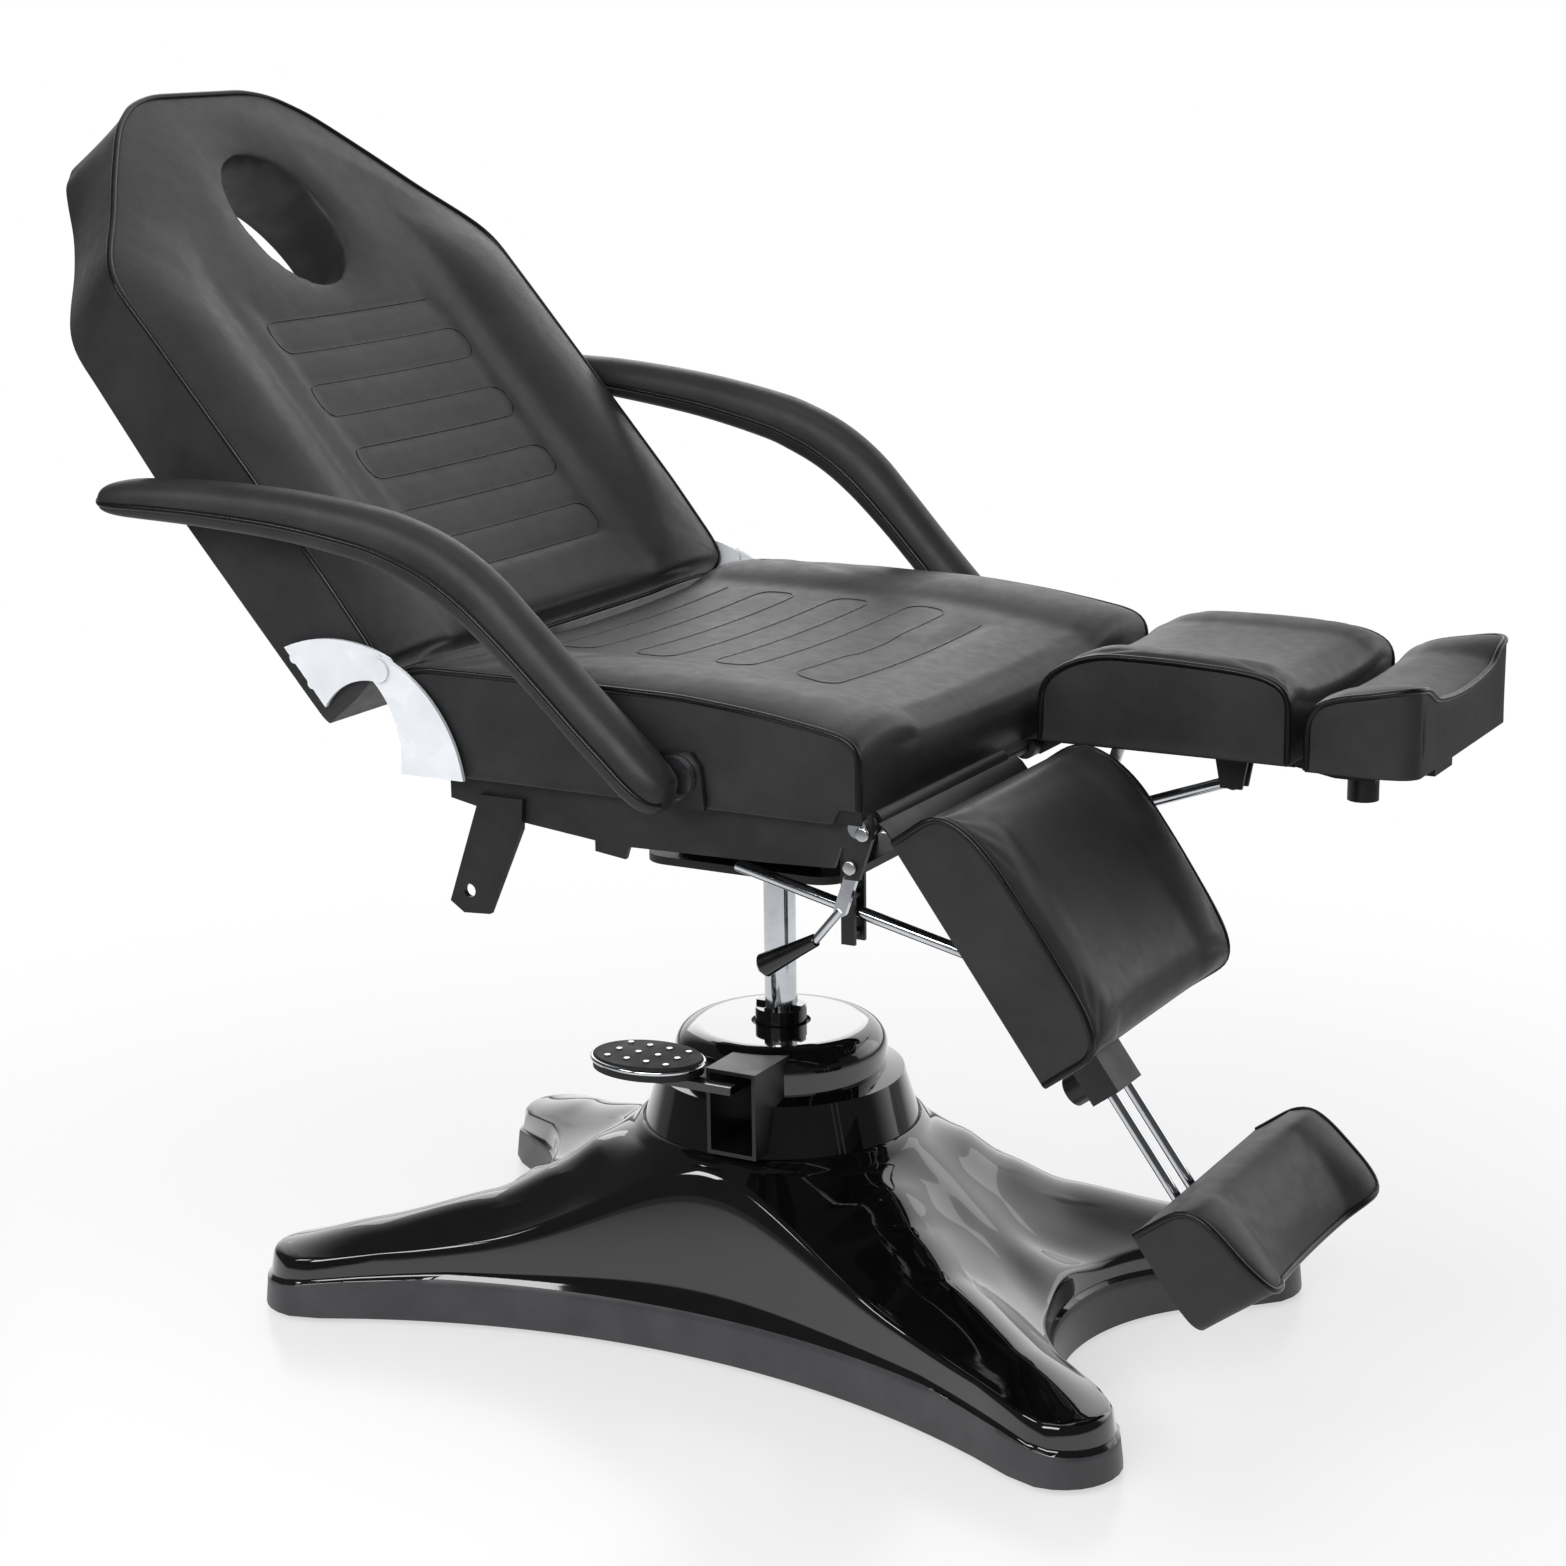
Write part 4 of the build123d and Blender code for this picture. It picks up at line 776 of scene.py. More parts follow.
def fillPad(pad, grid, seams):
    # Blows the foam out against the cover, held at the board, the welts and the sewn rows
    start = [v.co.copy() for v in pad.data.vertices]
    rises = [(co - grid.origin).dot(grid.out) for co in start]
    floor = min(rises) + foamLook["heldFloor"] * mm
    tree = pathTree(seams)
    held = pad.vertex_groups.new(name="held")
    for i, (co, rise) in enumerate(zip(start, rises)):
        if rise < floor or tree.find_nearest(co)[3] < foamLook["heldSeam"] * mm:
            held.add([i], 1.0, "REPLACE")
    cloth = pad.modifiers.new("Cloth", "CLOTH")
    cloth.settings.quality = 4
    cloth.settings.use_pressure = True
    cloth.settings.uniform_pressure_force = foamLook["pressure"]
    cloth.settings.effector_weights.gravity = 0
    cloth.settings.vertex_group_mass = "held"
    cloth.collision_settings.use_collision = False
    cloth.point_cache.frame_start = 1
    cloth.point_cache.frame_end = foamLook["frames"]
    for step in range(1, foamLook["frames"] + 1):
        bpy.context.scene.frame_set(step)
    pick(pad)
    bpy.ops.object.modifier_apply(modifier="Cloth")
    bpy.context.scene.frame_set(1)
    cap = grid.look["cap"] * mm
    for v, before in zip(pad.data.vertices, start):
        move = v.co - before
        if move.length > cap:
            v.co = before + move * (cap / move.length)
    pad.vertex_groups.clear()
    applyModifier(pad, "SUBSURF", {"levels": 1, "render_levels": 1})
    pick(pad)
    bpy.ops.object.shade_smooth()
    return pad


def pathTree(paths):
    # A ribbon along each path, so that the nearest seam to a point can be found
    points = []
    faces = []
    for path in paths:
        for a, b in zip(path, path[1:]):
            if (b - a).length < 1e-6:
                continue
            first = len(points)
            points += [a, b, b + Vector((1e-5, 1e-5, 1e-5))]
            faces.append((first, first + 1, first + 2))
    return BVHTree.FromPolygons(points, faces) if faces else None


def surfaceTree(obj):
    points = [v.co.copy() for v in obj.data.vertices]
    return BVHTree.FromPolygons(points, [tuple(face.vertices) for face in obj.data.polygons])


def spaced(path, gap, closed=False):
    # Points at even spacing along a path
    points = list(path) + ([path[0]] if closed else [])
    result = [points[0]]
    carry = 0.0
    for a, b in zip(points, points[1:]):
        length = (b - a).length
        while carry + gap <= length:
            carry += gap
            result.append(a.lerp(b, carry / length))
        carry -= length
    if closed:
        return result[:-1] if (result[-1] - points[0]).length < gap * 0.6 else result
    result.append(points[-1])
    return result


def ironed(points, passes, closed):
    # Takes the kinks out of a line, with its ends held
    for _ in range(passes):
        moved = [p.copy() for p in points]
        count = len(points)
        for i in range(count):
            if not closed and i in (0, count - 1):
                continue
            moved[i] = points[i] * 0.5 + (points[i - 1] + points[(i + 1) % count]) * 0.25
        points = moved
    return points


def makeTube(name, points, radius, closed, sides=3):
    curve = bpy.data.curves.new(name, "CURVE")
    curve.dimensions = "3D"
    curve.bevel_depth = radius
    curve.bevel_resolution = sides
    curve.use_fill_caps = not closed
    spline = curve.splines.new("POLY")
    spline.points.add(len(points) - 1)
    for spot, point in zip(spline.points, points):
        spot.co = (*point, 1.0)
    spline.use_cyclic_u = closed
    tube = bpy.data.objects.new(name, curve)
    bpy.context.scene.collection.objects.link(tube)
    pick(tube)
    bpy.ops.object.convert(target="MESH")
    bpy.ops.object.shade_smooth()
    return tube


def joinPieces(name, pieces):
    bpy.ops.object.select_all(action="DESELECT")
    for piece in pieces:
        piece.select_set(True)
    bpy.context.view_layer.objects.active = pieces[0]
    if len(pieces) > 1:
        bpy.ops.object.join()
    pieces[0].name = name
    return pieces[0]


weltLook = {"radius": 3.2, "gap": 6.0}
stitchLook = {"radius": 0.6, "gap": 4.0, "sunk": 0.15, "above": 100.0, "press": 1.2, "pressWidth": 4.0}


def layWelt(name, path, closed):
    # A sewn welt: a cord in its own strip of cover, laid along an edge of the pad
    points = ironed(spaced(path, weltLook["gap"] * mm, closed), 3, closed)
    return makeTube(name, points, weltLook["radius"] * mm, closed)


def layStitch(name, tree, path, inward):
    # A line of sewing pressed onto the cover, found by looking down on the pad
    look = stitchLook
    points = []
    for point in spaced(path, look["gap"] * mm):
        hit = tree.ray_cast(point - inward * look["above"] * mm, inward)[0]
        if hit:
            points.append(hit - inward * look["sunk"] * mm)
    return makeTube(name, ironed(points, 1, False), look["radius"] * mm, False, 1)


def rowPath(place, first, last, rows, half, bend):
    # Sewn rows that turn back at their ends, as one line with two quarter bends at each turn
    gap = (last - first) / (rows - 1)
    path = []
    for row in range(rows):
        along = first + gap * row
        side = half if row % 2 == 0 else -half
        path.append(place(along, -side + (math.copysign(bend, side) if row else 0.0)))
        path.append(place(along, side - math.copysign(bend, side)))
        if row == rows - 1:
            break
        for corner, sign in ((along, 1), (along + gap, -1)):
            for step in (1, 2, 3):
                turn = math.radians(22.5 * step) if sign == 1 else math.radians(90 - 22.5 * step)
                drop = bend * (1 - math.cos(turn))
                reach = bend * (1 - math.sin(turn))
                path.append(place(corner + sign * drop, side - math.copysign(reach, side)))
    return path


def pressRows(pad, path, inward):
    # Draws the cover down along the sewn rows
    tree = pathTree([path])
    width = stitchLook["pressWidth"] * mm
    for v in pad.data.vertices:
        near = tree.find_nearest(v.co)[3]
        if near is not None and near < 3 * width:
            v.co += inward * stitchLook["press"] * mm * math.exp(-((near / width) ** 2))


# Armrests: a padded sweep on the CAD arm's own line, with a sewn band below two welts
armLook = {
    # Each row is a place along the chair, its height above the pivot's level and the pad's thickness there
    "line": (
        (91, 16, 20), (87, 18, 33), (80, 24, 42), (66, 36, 46), (45, 55, 47), (22, 75, 47),
        (-1, 96, 46), (-24, 117, 46), (-47, 138, 47), (-71, 159, 49), (-95, 179, 52), (-122, 197, 53),
        (-150, 211, 53), (-182, 222, 52), (-215, 230, 50), (-300, 241, 46), (-400, 246, 42), (-470, 246, 37),
        (-496, 245, 33), (-512, 244, 27), (-521, 243, 19), (-525, 243, 8),
    ),
    "middle": (0.0, -360.0, 600.0),
    "width": 48.0,
    "ends": {0: 0.45, 1: 0.72, 2: 0.9, -1: 0.3, -2: 0.62, -3: 0.82, -4: 0.94},
    "around": 28,
    "seam": -0.16,
    "weltSunk": 0.6,
}


def smoothLine(rows, steps):
    # Points along a line that passes through every row without a kink
    result = []
    for a in range(len(rows) - 1):
        around = rows[max(a - 1, 0)], rows[a], rows[a + 1], rows[min(a + 2, len(rows) - 1)]
        for step in range(steps):
            t = step / steps
            point = []
            for q0, q1, q2, q3 in zip(*around):
                bend = (2 * q0 - 5 * q1 + 4 * q2 - q3) * t**2
                twist = (3 * q1 - q0 - 3 * q2 + q3) * t**3
                point.append(0.5 * (2 * q1 + (q2 - q0) * t + bend + twist))
            result.append(point)
    return result + [list(rows[-1])]


def armSection(count, half, thick):
    # Full round above the seam, a shallow band and a flat base below it
    spots = []
    seam = armLook["seam"] * thick
    upper = count // 2
    for number in range(upper + 1):
        turn = math.pi * number / upper
        across = half * math.copysign(abs(math.cos(turn)) ** 0.85, math.cos(turn))
        spots.append((across, seam + (thick / 2 - seam) * abs(math.sin(turn)) ** 0.8))
    lower = count - upper
    for number in range(1, lower):
        turn = math.pi * number / lower
        across = -0.95 * half * math.copysign(abs(math.cos(turn)) ** 0.5, math.cos(turn))
        spots.append((across, seam - (thick / 2 + seam) * abs(math.sin(turn)) ** 0.45))
    return spots


def makeArm(name):
    look = armLook
    count = look["around"]
    last = len(look["line"]) - 1
    widths = [look["ends"].get(i, look["ends"].get(i - last - 1, 1.0)) for i in range(last + 1)]
    table = smoothLine([[*row, width] for row, width in zip(look["line"], widths)], 3)
    points, seams = [], [[], []]
    for number, (x, z, thick, width) in enumerate(table):
        ahead, behind = table[min(number + 1, len(table) - 1)], table[max(number - 1, 0)]
        run = Vector((ahead[0] - behind[0], 0, ahead[1] - behind[1])).normalized()
        upward = Vector((run.z, 0, -run.x)) if run.x < 0 else Vector((-run.z, 0, run.x))
        middle = Vector(look["middle"]) + Vector((x, 0, z))
        half = look["width"] / 2 * width
        for across, rise in armSection(count, half, thick):
            points.append((middle + Vector((0, across, 0)) + upward * rise) * mm)
        for seam, sign in zip(seams, (1, -1)):
            beside = Vector((0, sign * (half - look["weltSunk"]), 0))
            seam.append((middle + beside + upward * look["seam"] * thick) * mm)
    faces = []
    lastRing = len(table) - 1
    for r in range(lastRing):
        for c in range(count):
            d = (c + 1) % count
            faces.append((r * count + c, r * count + d, (r + 1) * count + d, (r + 1) * count + c))
    faces.append(tuple(range(count)))
    faces.append(tuple(lastRing * count + c for c in reversed(range(count))))
    arm = meshPiece(name, points, faces, ("leathercloth",))
    applyModifier(arm, "SUBSURF", {"levels": 1, "render_levels": 1})
    pick(arm)
    bpy.ops.object.shade_smooth()
    return arm, seams


# Sewn rows of the seat and of the back: level, first and last place, number of rows, half length and bend
rowLook = {
    "seat": {"level": 682, "rows": (-151, 150, 8, -168, 19)},
    "back": {"level": -8, "rows": (60, 372, 9, 150, 18)},
}
seatRows = rowPath(lambda a, y: seatSpot(a, y, rowLook["seat"]["level"]), *rowLook["seat"]["rows"])
backRows = rowPath(lambda a, y: backSpot(a, y, rowLook["back"]["level"]), *rowLook["back"]["rows"])
downward = Vector((0, 0, -1))


def makePad(name, edges, welted, rows=None, inward=None):
    grid = PadGrid(name)
    pad = padMesh(name, grid, welted)
    seams = edges(grid)
    fillPad(pad, grid, seams + ([rows] if rows else []))
    if rows:
        pressRows(pad, rows, inward)
    print(name, "laid out and filled")
    return pad, seams


seatPad, seatSeams = makePad("seatPad", sideEdges, ("sides",), seatRows, downward)
backPad, backSeams = makePad("backPad", loopEdge, ("sides", "far", "near"), backRows, -backOut)
legPadLeft, legSeams = makePad("legPadLeft", sideEdges, ("sides",))
footPadLeft, footSeams = makePad("footPadLeft", bowEdge, ("sides", "far"))
armPadRight, armSeams = makeArm("armPadRight")


def dressPad(pad, name, body, covers):
    settle(pad, name, body, None)
    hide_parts(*covers)


# Welts take the darkened cover, painted shade along the seams
def addWelts(name, body, paths, closed=False):
    tubes = [layWelt(f"{name}{i}", path, closed) for i, path in enumerate(paths)]
    return settle(joinPieces(name, tubes), name, body, "seamShadeLeather")


addWelts("seatWelt", "seat", seatSeams)
addWelts("backWelt", "backrest", backSeams, True)
legWeltLeft = addWelts("legWeltLeft", "leg_rest_left", legSeams)
footWeltLeft = addWelts("footWeltLeft", "foot_rest_left", footSeams)
armWeltRight = addWelts("armWeltRight", "armrest_right", armSeams, False)
# The sewn rows take the same darkened cover, painted shade along the rows
seatStitch = layStitch("seatStitch", surfaceTree(seatPad), seatRows, downward)
settle(seatStitch, "seatStitch", "seat", "seamShadeLeather")
backStitch = layStitch("backStitch", surfaceTree(backPad), backRows, -backOut)
settle(backStitch, "backStitch", "backrest", "seamShadeLeather")


def copyWelt(piece, name, matrix, body):
    return settle(copyAcross(piece, name, matrix), name, body, None)


legPadRight = copyAcross(legPadLeft, "legPadRight", toNearLeg)
footPadRight = copyAcross(footPadLeft, "footPadRight", toNearFoot)
armPadLeft = copyAcross(armPadRight, "armPadLeft", toFarArm)
copyWelt(legWeltLeft, "legWeltRight", toNearLeg, "leg_rest_right")
copyWelt(footWeltLeft, "footWeltRight", toNearFoot, "foot_rest_right")
copyWelt(armWeltRight, "armWeltLeft", toFarArm, "armrest_left")
dressPad(seatPad, "seatPad", "seat", ("seat_cushion", "seat_board"))
dressPad(backPad, "backPad", "backrest", ("back_cushion", "back_board"))
for side, legPad, footPad, armPad in (
    ("left", legPadLeft, footPadLeft, armPadLeft),
    ("right", legPadRight, footPadRight, armPadRight),
):
    dressPad(legPad, legPad.name, f"leg_rest_{side}", (f"leg_cushion_{side}", f"leg_board_{side}"))
    footCovers = (f"foot_cushion_{side}", f"foot_board_{side}")
    dressPad(footPad, footPad.name, f"foot_rest_{side}", footCovers)
    dressPad(armPad, armPad.name, f"armrest_{side}", (f"arm_pad_{side}",))

# Round rubber buffers on the back of the board
bufferLook = {"along": 118.0, "across": 305.0, "radius": 9.0, "long": 12.0, "depth": 91.0, "edge": 1.5}


def makeBuffers():
    look = bufferLook
    discs = []
    for sign in (1, -1):
        bpy.ops.object.select_all(action="DESELECT")
        bpy.ops.mesh.primitive_cylinder_add(vertices=32, radius=look["radius"] * mm, depth=look["long"] * mm)
        disc = bpy.context.object
        place = backSpot(look["along"], sign * look["across"], -look["depth"])
        disc.data.transform(Matrix.Translation(place) @ backOut.to_track_quat("Z", "Y").to_matrix().to_4x4())
        applyModifier(disc, "BEVEL", {"width": look["edge"] * mm, "segments": 3, "limit_method": "ANGLE"})
        discs.append(disc)
    buffers = joinPieces("backBuffers", discs)
    shadeSmooth(buffers)
    return settle(buffers, "backBuffers", "backrest", "mouldedRubber")


makeBuffers()
print("welts, sewn rows and buffers laid")

# Base cover: one thermoformed shell, drawn as rings from the neck to the skirt
coverLook = {
    "around": 288,
    "blank": 0.2,
    "roofRings": 44,
    "archRings": 4,
    "wallRings": 12,
    "panelRings": 6,
    "neck": 150.0,
    "lip": 141.0,
    "neckTop": 200.0,
    "neckRoll": (4.0, 2.0),
    "neckDrop": 6.0,
    "band": (34.0, 50.0),
    "bandReach": (530.0, 330.0),
    "bandRoom": 6.0,
    "ledge": 3.0,
    "arch": 7.0,
    "rim": 55.0,
    "rise": 135.0,
    "reach": 540.0,
    "ridge": ((120, 190), (150, 188), (185, 176), (226, 148), (288, 119), (411, 90), (525, 63), (560, 56)),
    "ridgeHalf": 52.0,
    "ridgeEase": 0.35,
    "skirt": 6.0,
    "wall": 4.0,
    "edge": 1.2,
}
# Soft swages pressed into the end flanks: a crest on the middle line and a hollow beside each ridge
swageLook = {
    "crest": {"at": (215, 0), "long": 90, "wide": 34, "turn": 0, "high": 5.0},
    "hollow": {"at": (292, 46), "long": 74, "wide": 30, "turn": 36, "high": -6.0},
    "fall": 1.4,
    "limit": 6.0,
}
swages = []
for endSign in (1, -1):
    for kind, acrossSigns in (("crest", (1,)), ("hollow", (1, -1))):
        for acrossSign in acrossSigns:
            swage = dict(swageLook[kind])
            swage["at"] = (endSign * swage["at"][0], acrossSign * swage["at"][1])
            swage["turn"] *= endSign * acrossSign
            swages.append(swage)


def starRadius(angle, lean):
    # Distance from the column to the skirt in one direction
    tipX, tipY = chair["tip"]
    tip = chair["tipRadius"] - lean
    waistX, waistY = chair["waist"][0] - lean, chair["waist"][1] - lean
    dx, dy = abs(math.cos(angle)), abs(math.sin(angle))
    best = 0.0
    across = tipX * dy - tipY * dx
    if abs(across) < tip:
        best = tipX * dx + tipY * dy + math.sqrt(tip * tip - across * across)
    found = []
    for here, there, waist, ux, uy in ((tipY, tipX, waistY, dx, dy), (tipX, tipY, waistX, dy, dx)):
        rise = here - waist
        hollow = (there * there + rise * rise - tip * tip) / (2 * (tip + rise))
        centre = waist + hollow
        # the nearer place where this direction crosses the waist's circle
        b = uy * centre
        c = centre * centre - hollow * hollow
        root = b * b - c
        if root > 0:
            r = b - math.sqrt(root)
            joint = there * (1 - tip / (hollow + tip))
            if 0 < r and r * ux <= joint + 1e-6:
                found.append(r)
    if found:
        return min(found)
    return best


def roofHeight(radius, angle):
    look = coverLook
    share = max(0.0, (look["reach"] - radius) / (look["reach"] - look["neck"]))
    tent = look["rim"] + look["rise"] * share**3
    rows = look["ridge"]
    ridge = rows[-1][1]
    for (r0, h0), (r1, h1) in zip(rows, rows[1:]):
        if r0 <= radius <= r1:
            t = (radius - r0) / (r1 - r0)
            t = t * t * (3 - 2 * t) * look["ridgeEase"] + t * (1 - look["ridgeEase"])
            ridge = h0 + (h1 - h0) * t
            break
    slope = math.atan2(chair["tip"][1], chair["tip"][0])
    near = min(abs(abs(math.remainder(angle, math.pi)) - slope), math.pi)
    off = radius * math.sin(min(near, math.pi / 2))
    weight = math.exp(-((off / look["ridgeHalf"]) ** 2))
    height = tent + max(0.0, ridge - tent) * weight
    for swage in swages:
        height += swageHeight(swage, radius * math.cos(angle), radius * math.sin(angle))
    return height


def swageHeight(swage, x, y):
    turn = math.radians(swage["turn"])
    dx, dy = x - swage["at"][0], y - swage["at"][1]
    along = dx * math.cos(turn) + dy * math.sin(turn)
    across = -dx * math.sin(turn) + dy * math.cos(turn)
    d = (along / swage["long"]) ** 2 + (across / swage["wide"]) ** 2
    return swage["high"] * math.exp(-swageLook["fall"] * d) if d < swageLook["limit"] else 0.0


def roofEdge(angle):
    # Where the roof meets the drafted wall in one direction
    low, high = coverLook["neck"], chair["tip"][0] + chair["tip"][1]
    for _ in range(40):
        middle = (low + high) / 2
        height = roofHeight(middle, angle)
        if middle < starRadius(angle, chair["draft"] * height):
            low = middle
        else:
            high = middle
    return low


def wallSpot(step, edge, angle):
    # The wall below the roof: a leaning panel, a small ledge and an upright band
    look = coverLook
    reach = (edge - look["bandReach"][0]) / (look["bandReach"][1] - look["bandReach"][0])
    share = min(1.0, max(0.0, reach))
    high = roofHeight(edge, angle) - look["arch"]
    band = min(look["band"][0] + (look["band"][1] - look["band"][0]) * share, high - look["bandRoom"])
    lean = chair["draft"] * band
    if step <= look["panelRings"]:
        z = high + (band + look["ledge"] - high) * step / look["panelRings"]
        return starRadius(angle, chair["draft"] * z), z
    t = (step - look["panelRings"] - 1) / (look["wallRings"] - look["panelRings"] - 1)
    z = band + (look["skirt"] - band) * t
    return starRadius(angle, (lean - look["ledge"]) * (1 - t)), z


def archSpot(t, edge, angle):
    # The rounded edge between the roof and the panel below it
    look = coverLook
    high = roofHeight(edge, angle)
    inner = (edge - look["arch"], roofHeight(edge - look["arch"], angle))
    lower = (starRadius(angle, chair["draft"] * (high - look["arch"])), high - look["arch"])
    weights = ((1 - t) ** 2, 2 * t * (1 - t), t * t)
    return tuple(sum(w * p for w, p in zip(weights, spots)) for spots in zip(inner, (edge, high), lower))


def makeCover():
    look = coverLook
    blank = look["blank"]
    archStart = look["roofRings"] + 1
    wallStart = archStart + look["archRings"]
    rings = wallStart + look["wallRings"] + 1
    banded = set()
    bpy.ops.object.select_all(action="DESELECT")
    bpy.ops.mesh.primitive_cylinder_add(
        vertices=look["around"], radius=blank, depth=blank, end_fill_type="NOTHING"
    )
    cover = bpy.context.object
    bpy.ops.object.mode_set(mode="EDIT")
    bpy.ops.mesh.select_mode(type="EDGE")
    bpy.ops.mesh.select_all(action="DESELECT")
    bpy.ops.object.mode_set(mode="OBJECT")
    for edge in cover.data.edges:
        a, b = (cover.data.vertices[i].co for i in edge.vertices)
        edge.select = abs(a.z - b.z) > blank / 2
    bpy.ops.object.mode_set(mode="EDIT")
    bpy.ops.mesh.subdivide(number_cuts=rings - 2)
    bpy.ops.object.mode_set(mode="OBJECT")
    mesh = cover.data
    # rings counted from the top: two of the neck, then roof, arch and wall
    for v in mesh.vertices:
        angle = math.atan2(v.co.y, v.co.x)
        ring = round((blank / 2 - v.co.z) / blank * (rings - 1))
        edge = roofEdge(angle)
        if ring <= 1:
            radius = look["lip"] + look["neckRoll"][0] * ring
            z = look["neckTop"] - look["neckRoll"][1] * ring
        elif ring <= archStart:
            t = (ring - 2) / (look["roofRings"] - 1)
            radius = look["neck"] + (edge - look["arch"] - look["neck"]) * t
            z = min(look["neckTop"] - look["neckDrop"], roofHeight(radius, angle))
        elif ring <= wallStart:
            radius, z = archSpot((ring - archStart) / (look["archRings"] + 1), edge, angle)
        else:
            radius, z = wallSpot(ring - wallStart, edge, angle)
            if ring - wallStart > look["panelRings"]:
                banded.add(v.index)
        v.co = Vector((radius * math.cos(angle), radius * math.sin(angle), z)) * mm
    bpy.ops.object.mode_set(mode="EDIT")
    bpy.ops.mesh.select_all(action="SELECT")
    bpy.ops.mesh.normals_make_consistent(inside=False)
    bpy.ops.object.mode_set(mode="OBJECT")
    for name in ("glossAbs", "satinAbs"):
        mesh.materials.append(finish[name])
    for face in mesh.polygons:
        face.material_index = 1 if banded.issuperset(face.vertices) else 0
    return cover


baseShell = makeCover()
softEdge = {"segments": 3, "limit_method": "ANGLE", "angle_limit": math.radians(50)}
applyModifier(baseShell, "BEVEL", {"width": coverLook["edge"] * mm, **softEdge})
applyModifier(baseShell, "SOLIDIFY", {"thickness": coverLook["wall"] * mm, "offset": -1.0})
shadeSmooth(baseShell, 50)
settle(baseShell, "baseShell", "base", None)
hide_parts("base_cover")
print("base cover drawn")

# Rolled rim of the pedal
rimLook = {"steps": 64, "drop": 6.0, "radius": 2.6}


def makeRim():
    look = rimLook
    low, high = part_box("pedal_tread")
    middle = (Vector(low) + Vector(high)) / 2
    half = (Vector(high) - Vector(low)) / 2
    level = high[2] - look["drop"] * mm
    ring = []
    for step in range(look["steps"]):
        turn = 2 * math.pi * step / look["steps"]
        ring.append(Vector((middle.x + half.x * math.cos(turn), middle.y + half.y * math.sin(turn), level)))
    rim = makeTube("pedalRim", ring, look["radius"] * mm, True)
    return settle(rim, "pedalRim", "pedal", "chromePlate")


# Sheet aprons between each leg rest and its axle
apronLook = {"line": ((-19, -73), (-12, -70.5), (-3, -70), (26, -70)), "across": (14.0, 296.0), "thick": 1.5}


def makeApron():
    look = apronLook
    bpy.ops.object.select_all(action="DESELECT")
    bpy.ops.mesh.primitive_grid_add(x_subdivisions=len(look["line"]) - 1, y_subdivisions=8, size=2)
    apron = bpy.context.object
    columns = sorted({round(v.co.x, 4) for v in apron.data.vertices})
    for v in apron.data.vertices:
        along, rise = look["line"][min(range(len(columns)), key=lambda c: abs(columns[c] - v.co.x))]
        share = (v.co.y + 1) / 2
        v.co = legSpot(along, look["across"][0] + (look["across"][1] - look["across"][0]) * share, rise)
    applyModifier(apron, "SOLIDIFY", {"thickness": look["thick"] * mm, "offset": 1.0})
    shadeSmooth(apron)
    return settle(apron, "legApronLeft", "leg_rest_left", "powderCoat")


# Bright heads of the axle and of the lever pin at the front corners
boltLook = {
    "places": ((258.0, 594.0), (244.0, 562.0)),
    "under": ("corner_bracket_right", "front_axle", "lever_rod_right"),
    "radius": 6.5,
    "high": 4.0,
    "edge": 1.6,
    "outside": 310.0,
    "search": 420.0,
}


def makeBolts():
    look = boltLook
    trees = [surfaceTree(nodes[node]) for node in look["under"]]
    quarter = Matrix.Rotation(math.radians(90), 4, "X")
    heads = []
    for x, z in look["places"]:
        start = seatSpot(x, -look["search"], z)
        hits = [tree.ray_cast(start, Vector((0, 1, 0)))[0] for tree in trees]
        face = min([hit.y for hit in hits if hit] + [-look["outside"] * mm])
        bpy.ops.object.select_all(action="DESELECT")
        bpy.ops.mesh.primitive_cylinder_add(vertices=24, radius=look["radius"] * mm, depth=look["high"] * mm)
        head = bpy.context.object
        head.data.transform(Matrix.Translation((x * mm, face - look["high"] * mm / 2, z * mm)) @ quarter)
        applyModifier(head, "BEVEL", {"width": look["edge"] * mm, "segments": 3, "limit_method": "ANGLE"})
        heads.append(head)
    bolts = joinPieces("cornerBoltsRight", heads)
    shadeSmooth(bolts, 35)
    settle(bolts, "cornerBoltsRight", "seat", "zincPlate")
    settle(copyAcross(bolts, "cornerBoltsLeft", mirrorY), "cornerBoltsLeft", "seat", None)


makeBolts()
makeRim()
legApronRight = copyAcross(makeApron(), "legApronRight", toNearLeg)
settle(legApronRight, "legApronRight", "leg_rest_right", None)
print("bolt heads, pedal rim and aprons made")

# Camera at the place worked out from the photograph
cameraLook = {
    "eye": (1493.8, -2675.6, 1301.2),
    "right": (0.8753, 0.4834, -0.0122),
    "up": (-0.1060, 0.2164, 0.9705),
    "forward": (-0.4718, 0.8483, -0.2406),
    "lens": 73.58,
}
cameraData = bpy.data.cameras.new("photoCamera")
cameraData.lens = cameraLook["lens"]
cameraData.sensor_width = 36.0
cameraData.clip_end = 50.0
camera = bpy.data.objects.new("photoCamera", cameraData)
bpy.context.scene.collection.objects.link(camera)
right, up, forward = (Vector(cameraLook[key]).normalized() for key in ("right", "up", "forward"))
camera.matrix_world = Matrix(
    (
        (right.x, up.x, -forward.x, cameraLook["eye"][0] * mm),
        (right.y, up.y, -forward.y, cameraLook["eye"][1] * mm),
        (right.z, up.z, -forward.z, cameraLook["eye"][2] * mm),
        (0, 0, 0, 1),
    )
)
bpy.context.scene.camera = camera

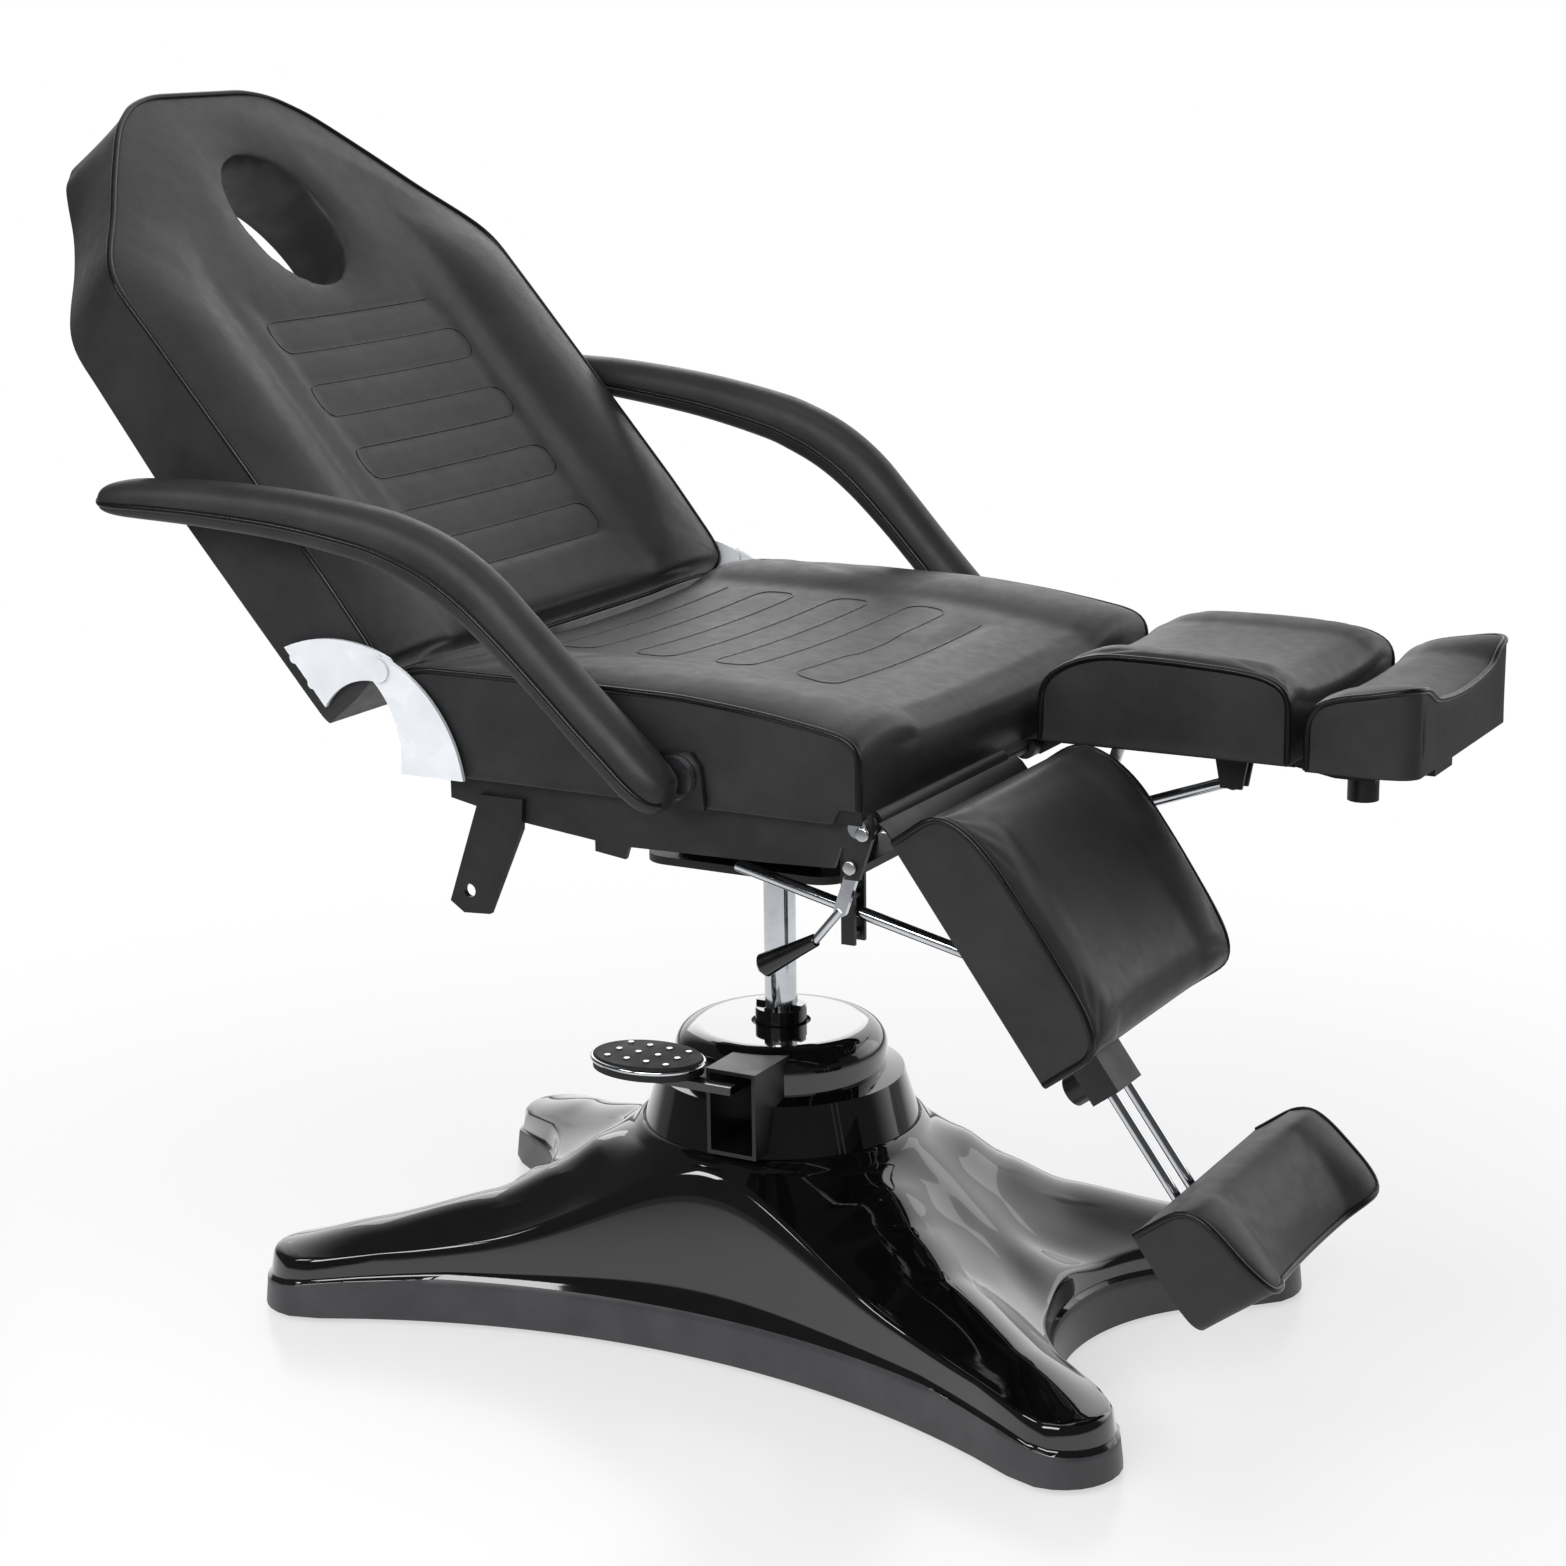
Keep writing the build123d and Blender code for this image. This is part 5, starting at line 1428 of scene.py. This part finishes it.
# Studio: white floor, soft lamps and a white surround, with a darker one for polished pieces to mirror
studioLook = {
    "floor": 40.0,
    "floorWhite": "#f6f6f6",
    "seenGlow": (0.6, 1.0),
    "seenReach": (0.65, 1.7),
    "mirrorTone": (0.85, 0.2),
    "mirrorReach": (0.9, 3.0),
    "skyTone": (0.17, 0.6),
    "skyReach": (0.0, 0.8),
    "backWay": (-0.1, 0.98, 0.15),
    "backReach": (0.3, 0.9),
    "backTone": (0.08, 1.25),
}
lampLook = {
    "topSoftbox": {"at": (0.1, -0.4, 3.2), "to": (0.0, 0.0, 0.5), "size": (2.2, 1.6), "power": 13},
    "backLeftSoftbox": {"at": (-1.9, 2.5, 2.1), "to": (-0.1, 0.0, 0.5), "size": (2.4, 1.8), "power": 18},
    "frontSoftbox": {"at": (0.2, -3.6, 2.3), "to": (0.0, 0.0, 0.6), "size": (2.6, 1.2), "power": 72},
    "flankSoftbox": {"at": (2.3, 2.5, 1.4), "to": (0.1, 0.0, 0.4), "size": (2.6, 1.7), "power": 9},
    "edgeSoftbox": {"at": (-1.4, -1.9, 2.0), "to": (0.0, 0.0, 0.3), "size": (0.7, 0.5), "power": 9},
}
paperWhite = (1, 1, 1, 1)


def rangeSettings(reach, values):
    (low, high), (first, last) = reach, values
    return {"From Min": low, "From Max": high, "To Min": first, "To Max": last}


def radialShare(tree, coords, reach, values):
    # A value that changes with the distance from the chair on the floor
    far = addNode(tree, "ShaderNodeVectorMath", {"operation": "LENGTH"}, {0: coords}).outputs["Value"]
    settings = {"interpolation_type": "SMOOTHSTEP", **rangeSettings(reach, values)}
    return addNode(tree, "ShaderNodeMapRange", settings, {"Value": far}).outputs["Result"]


def makeFloor():
    look = studioLook
    bpy.ops.object.select_all(action="DESELECT")
    bpy.ops.mesh.primitive_plane_add(size=look["floor"], location=(0, 0, 0))
    floor = bpy.context.object
    floor.name = "studioFloor"
    material, tree, out, coords = startMaterial("floorPaper")
    base = addNode(
        tree,
        "ShaderNodeBsdfPrincipled",
        {"Base Color": linear(look["floorWhite"]), "Roughness": 0.22, "Specular IOR Level": 0.4},
    )
    glow = addNode(tree, "ShaderNodeEmission", {"Color": paperWhite, "Strength": 1.0}).outputs[0]
    mirrored = radialShare(tree, coords, look["mirrorReach"], look["mirrorTone"])
    dim = addNode(tree, "ShaderNodeEmission", {"Color": paperWhite}, {"Strength": mirrored}).outputs[0]
    path = addNode(tree, "ShaderNodeLightPath").outputs
    bright = radialShare(tree, coords, look["seenReach"], look["seenGlow"])
    share = addNode(
        tree,
        "ShaderNodeMath",
        {"operation": "MULTIPLY"},
        {0: path["Is Camera Ray"], 1: bright},
    )
    links = {0: share.outputs[0], 1: base.outputs["BSDF"], 2: glow}
    seen = addNode(tree, "ShaderNodeMixShader", {}, links).outputs[0]
    mix = addNode(tree, "ShaderNodeMixShader", {}, {0: path["Is Glossy Ray"], 1: seen, 2: dim})
    tree.links.new(mix.outputs[0], out.inputs["Surface"])
    floor.data.materials.append(material)


def makeWorld():
    look = studioLook
    world = bpy.data.worlds.new("studioWorld")
    world.use_nodes = True
    tree = world.node_tree
    tree.nodes.clear()
    way = addNode(tree, "ShaderNodeTexCoord").outputs["Generated"]
    rise = addNode(tree, "ShaderNodeSeparateXYZ", {}, {"Vector": way}).outputs["Z"]
    level = addNode(
        tree,
        "ShaderNodeMapRange",
        rangeSettings(look["skyReach"], look["skyTone"]),
        {"Value": rise},
    )
    facing = addNode(tree, "ShaderNodeVectorMath", {"operation": "DOT_PRODUCT"}, {0: way})
    facing.inputs[1].default_value = look["backWay"]
    glow = addNode(
        tree,
        "ShaderNodeMapRange",
        {"interpolation_type": "SMOOTHSTEP", **rangeSettings(look["backReach"], look["backTone"])},
        {"Value": facing.outputs["Value"]},
    )
    path = addNode(tree, "ShaderNodeLightPath").outputs
    seen = addNode(
        tree,
        "ShaderNodeMath",
        {"operation": "MAXIMUM"},
        {0: path["Is Camera Ray"], 1: path["Is Transmission Ray"]},
    )
    strength = addNode(
        tree,
        "ShaderNodeMix",
        {"data_type": "FLOAT"},
        {0: path["Is Glossy Ray"], 2: level.outputs["Result"], 3: glow.outputs["Result"]},
    )
    dim = addNode(tree, "ShaderNodeBackground", {"Color": paperWhite}, {"Strength": strength.outputs[0]})
    white = addNode(tree, "ShaderNodeBackground", {"Color": paperWhite, "Strength": 1.0})
    links = {0: seen.outputs[0], 1: dim.outputs[0], 2: white.outputs[0]}
    mix = addNode(tree, "ShaderNodeMixShader", {}, links)
    out = addNode(tree, "ShaderNodeOutputWorld")
    tree.links.new(mix.outputs[0], out.inputs["Surface"])
    bpy.context.scene.world = world


def makeLamps():
    for name, lamp in lampLook.items():
        data = bpy.data.lights.new(name, "AREA")
        data.shape = "RECTANGLE"
        data.size, data.size_y = lamp["size"]
        data.energy = lamp["power"]
        obj = bpy.data.objects.new(name, data)
        obj.location = lamp["at"]
        aim = Vector(lamp["to"]) - Vector(lamp["at"])
        obj.rotation_euler = aim.to_track_quat("-Z", "Y").to_euler()
        bpy.context.scene.collection.objects.link(obj)


makeFloor()
makeWorld()
makeLamps()
bpy.context.scene.view_settings.view_transform = "Standard"
print("camera, floor and lamps placed")
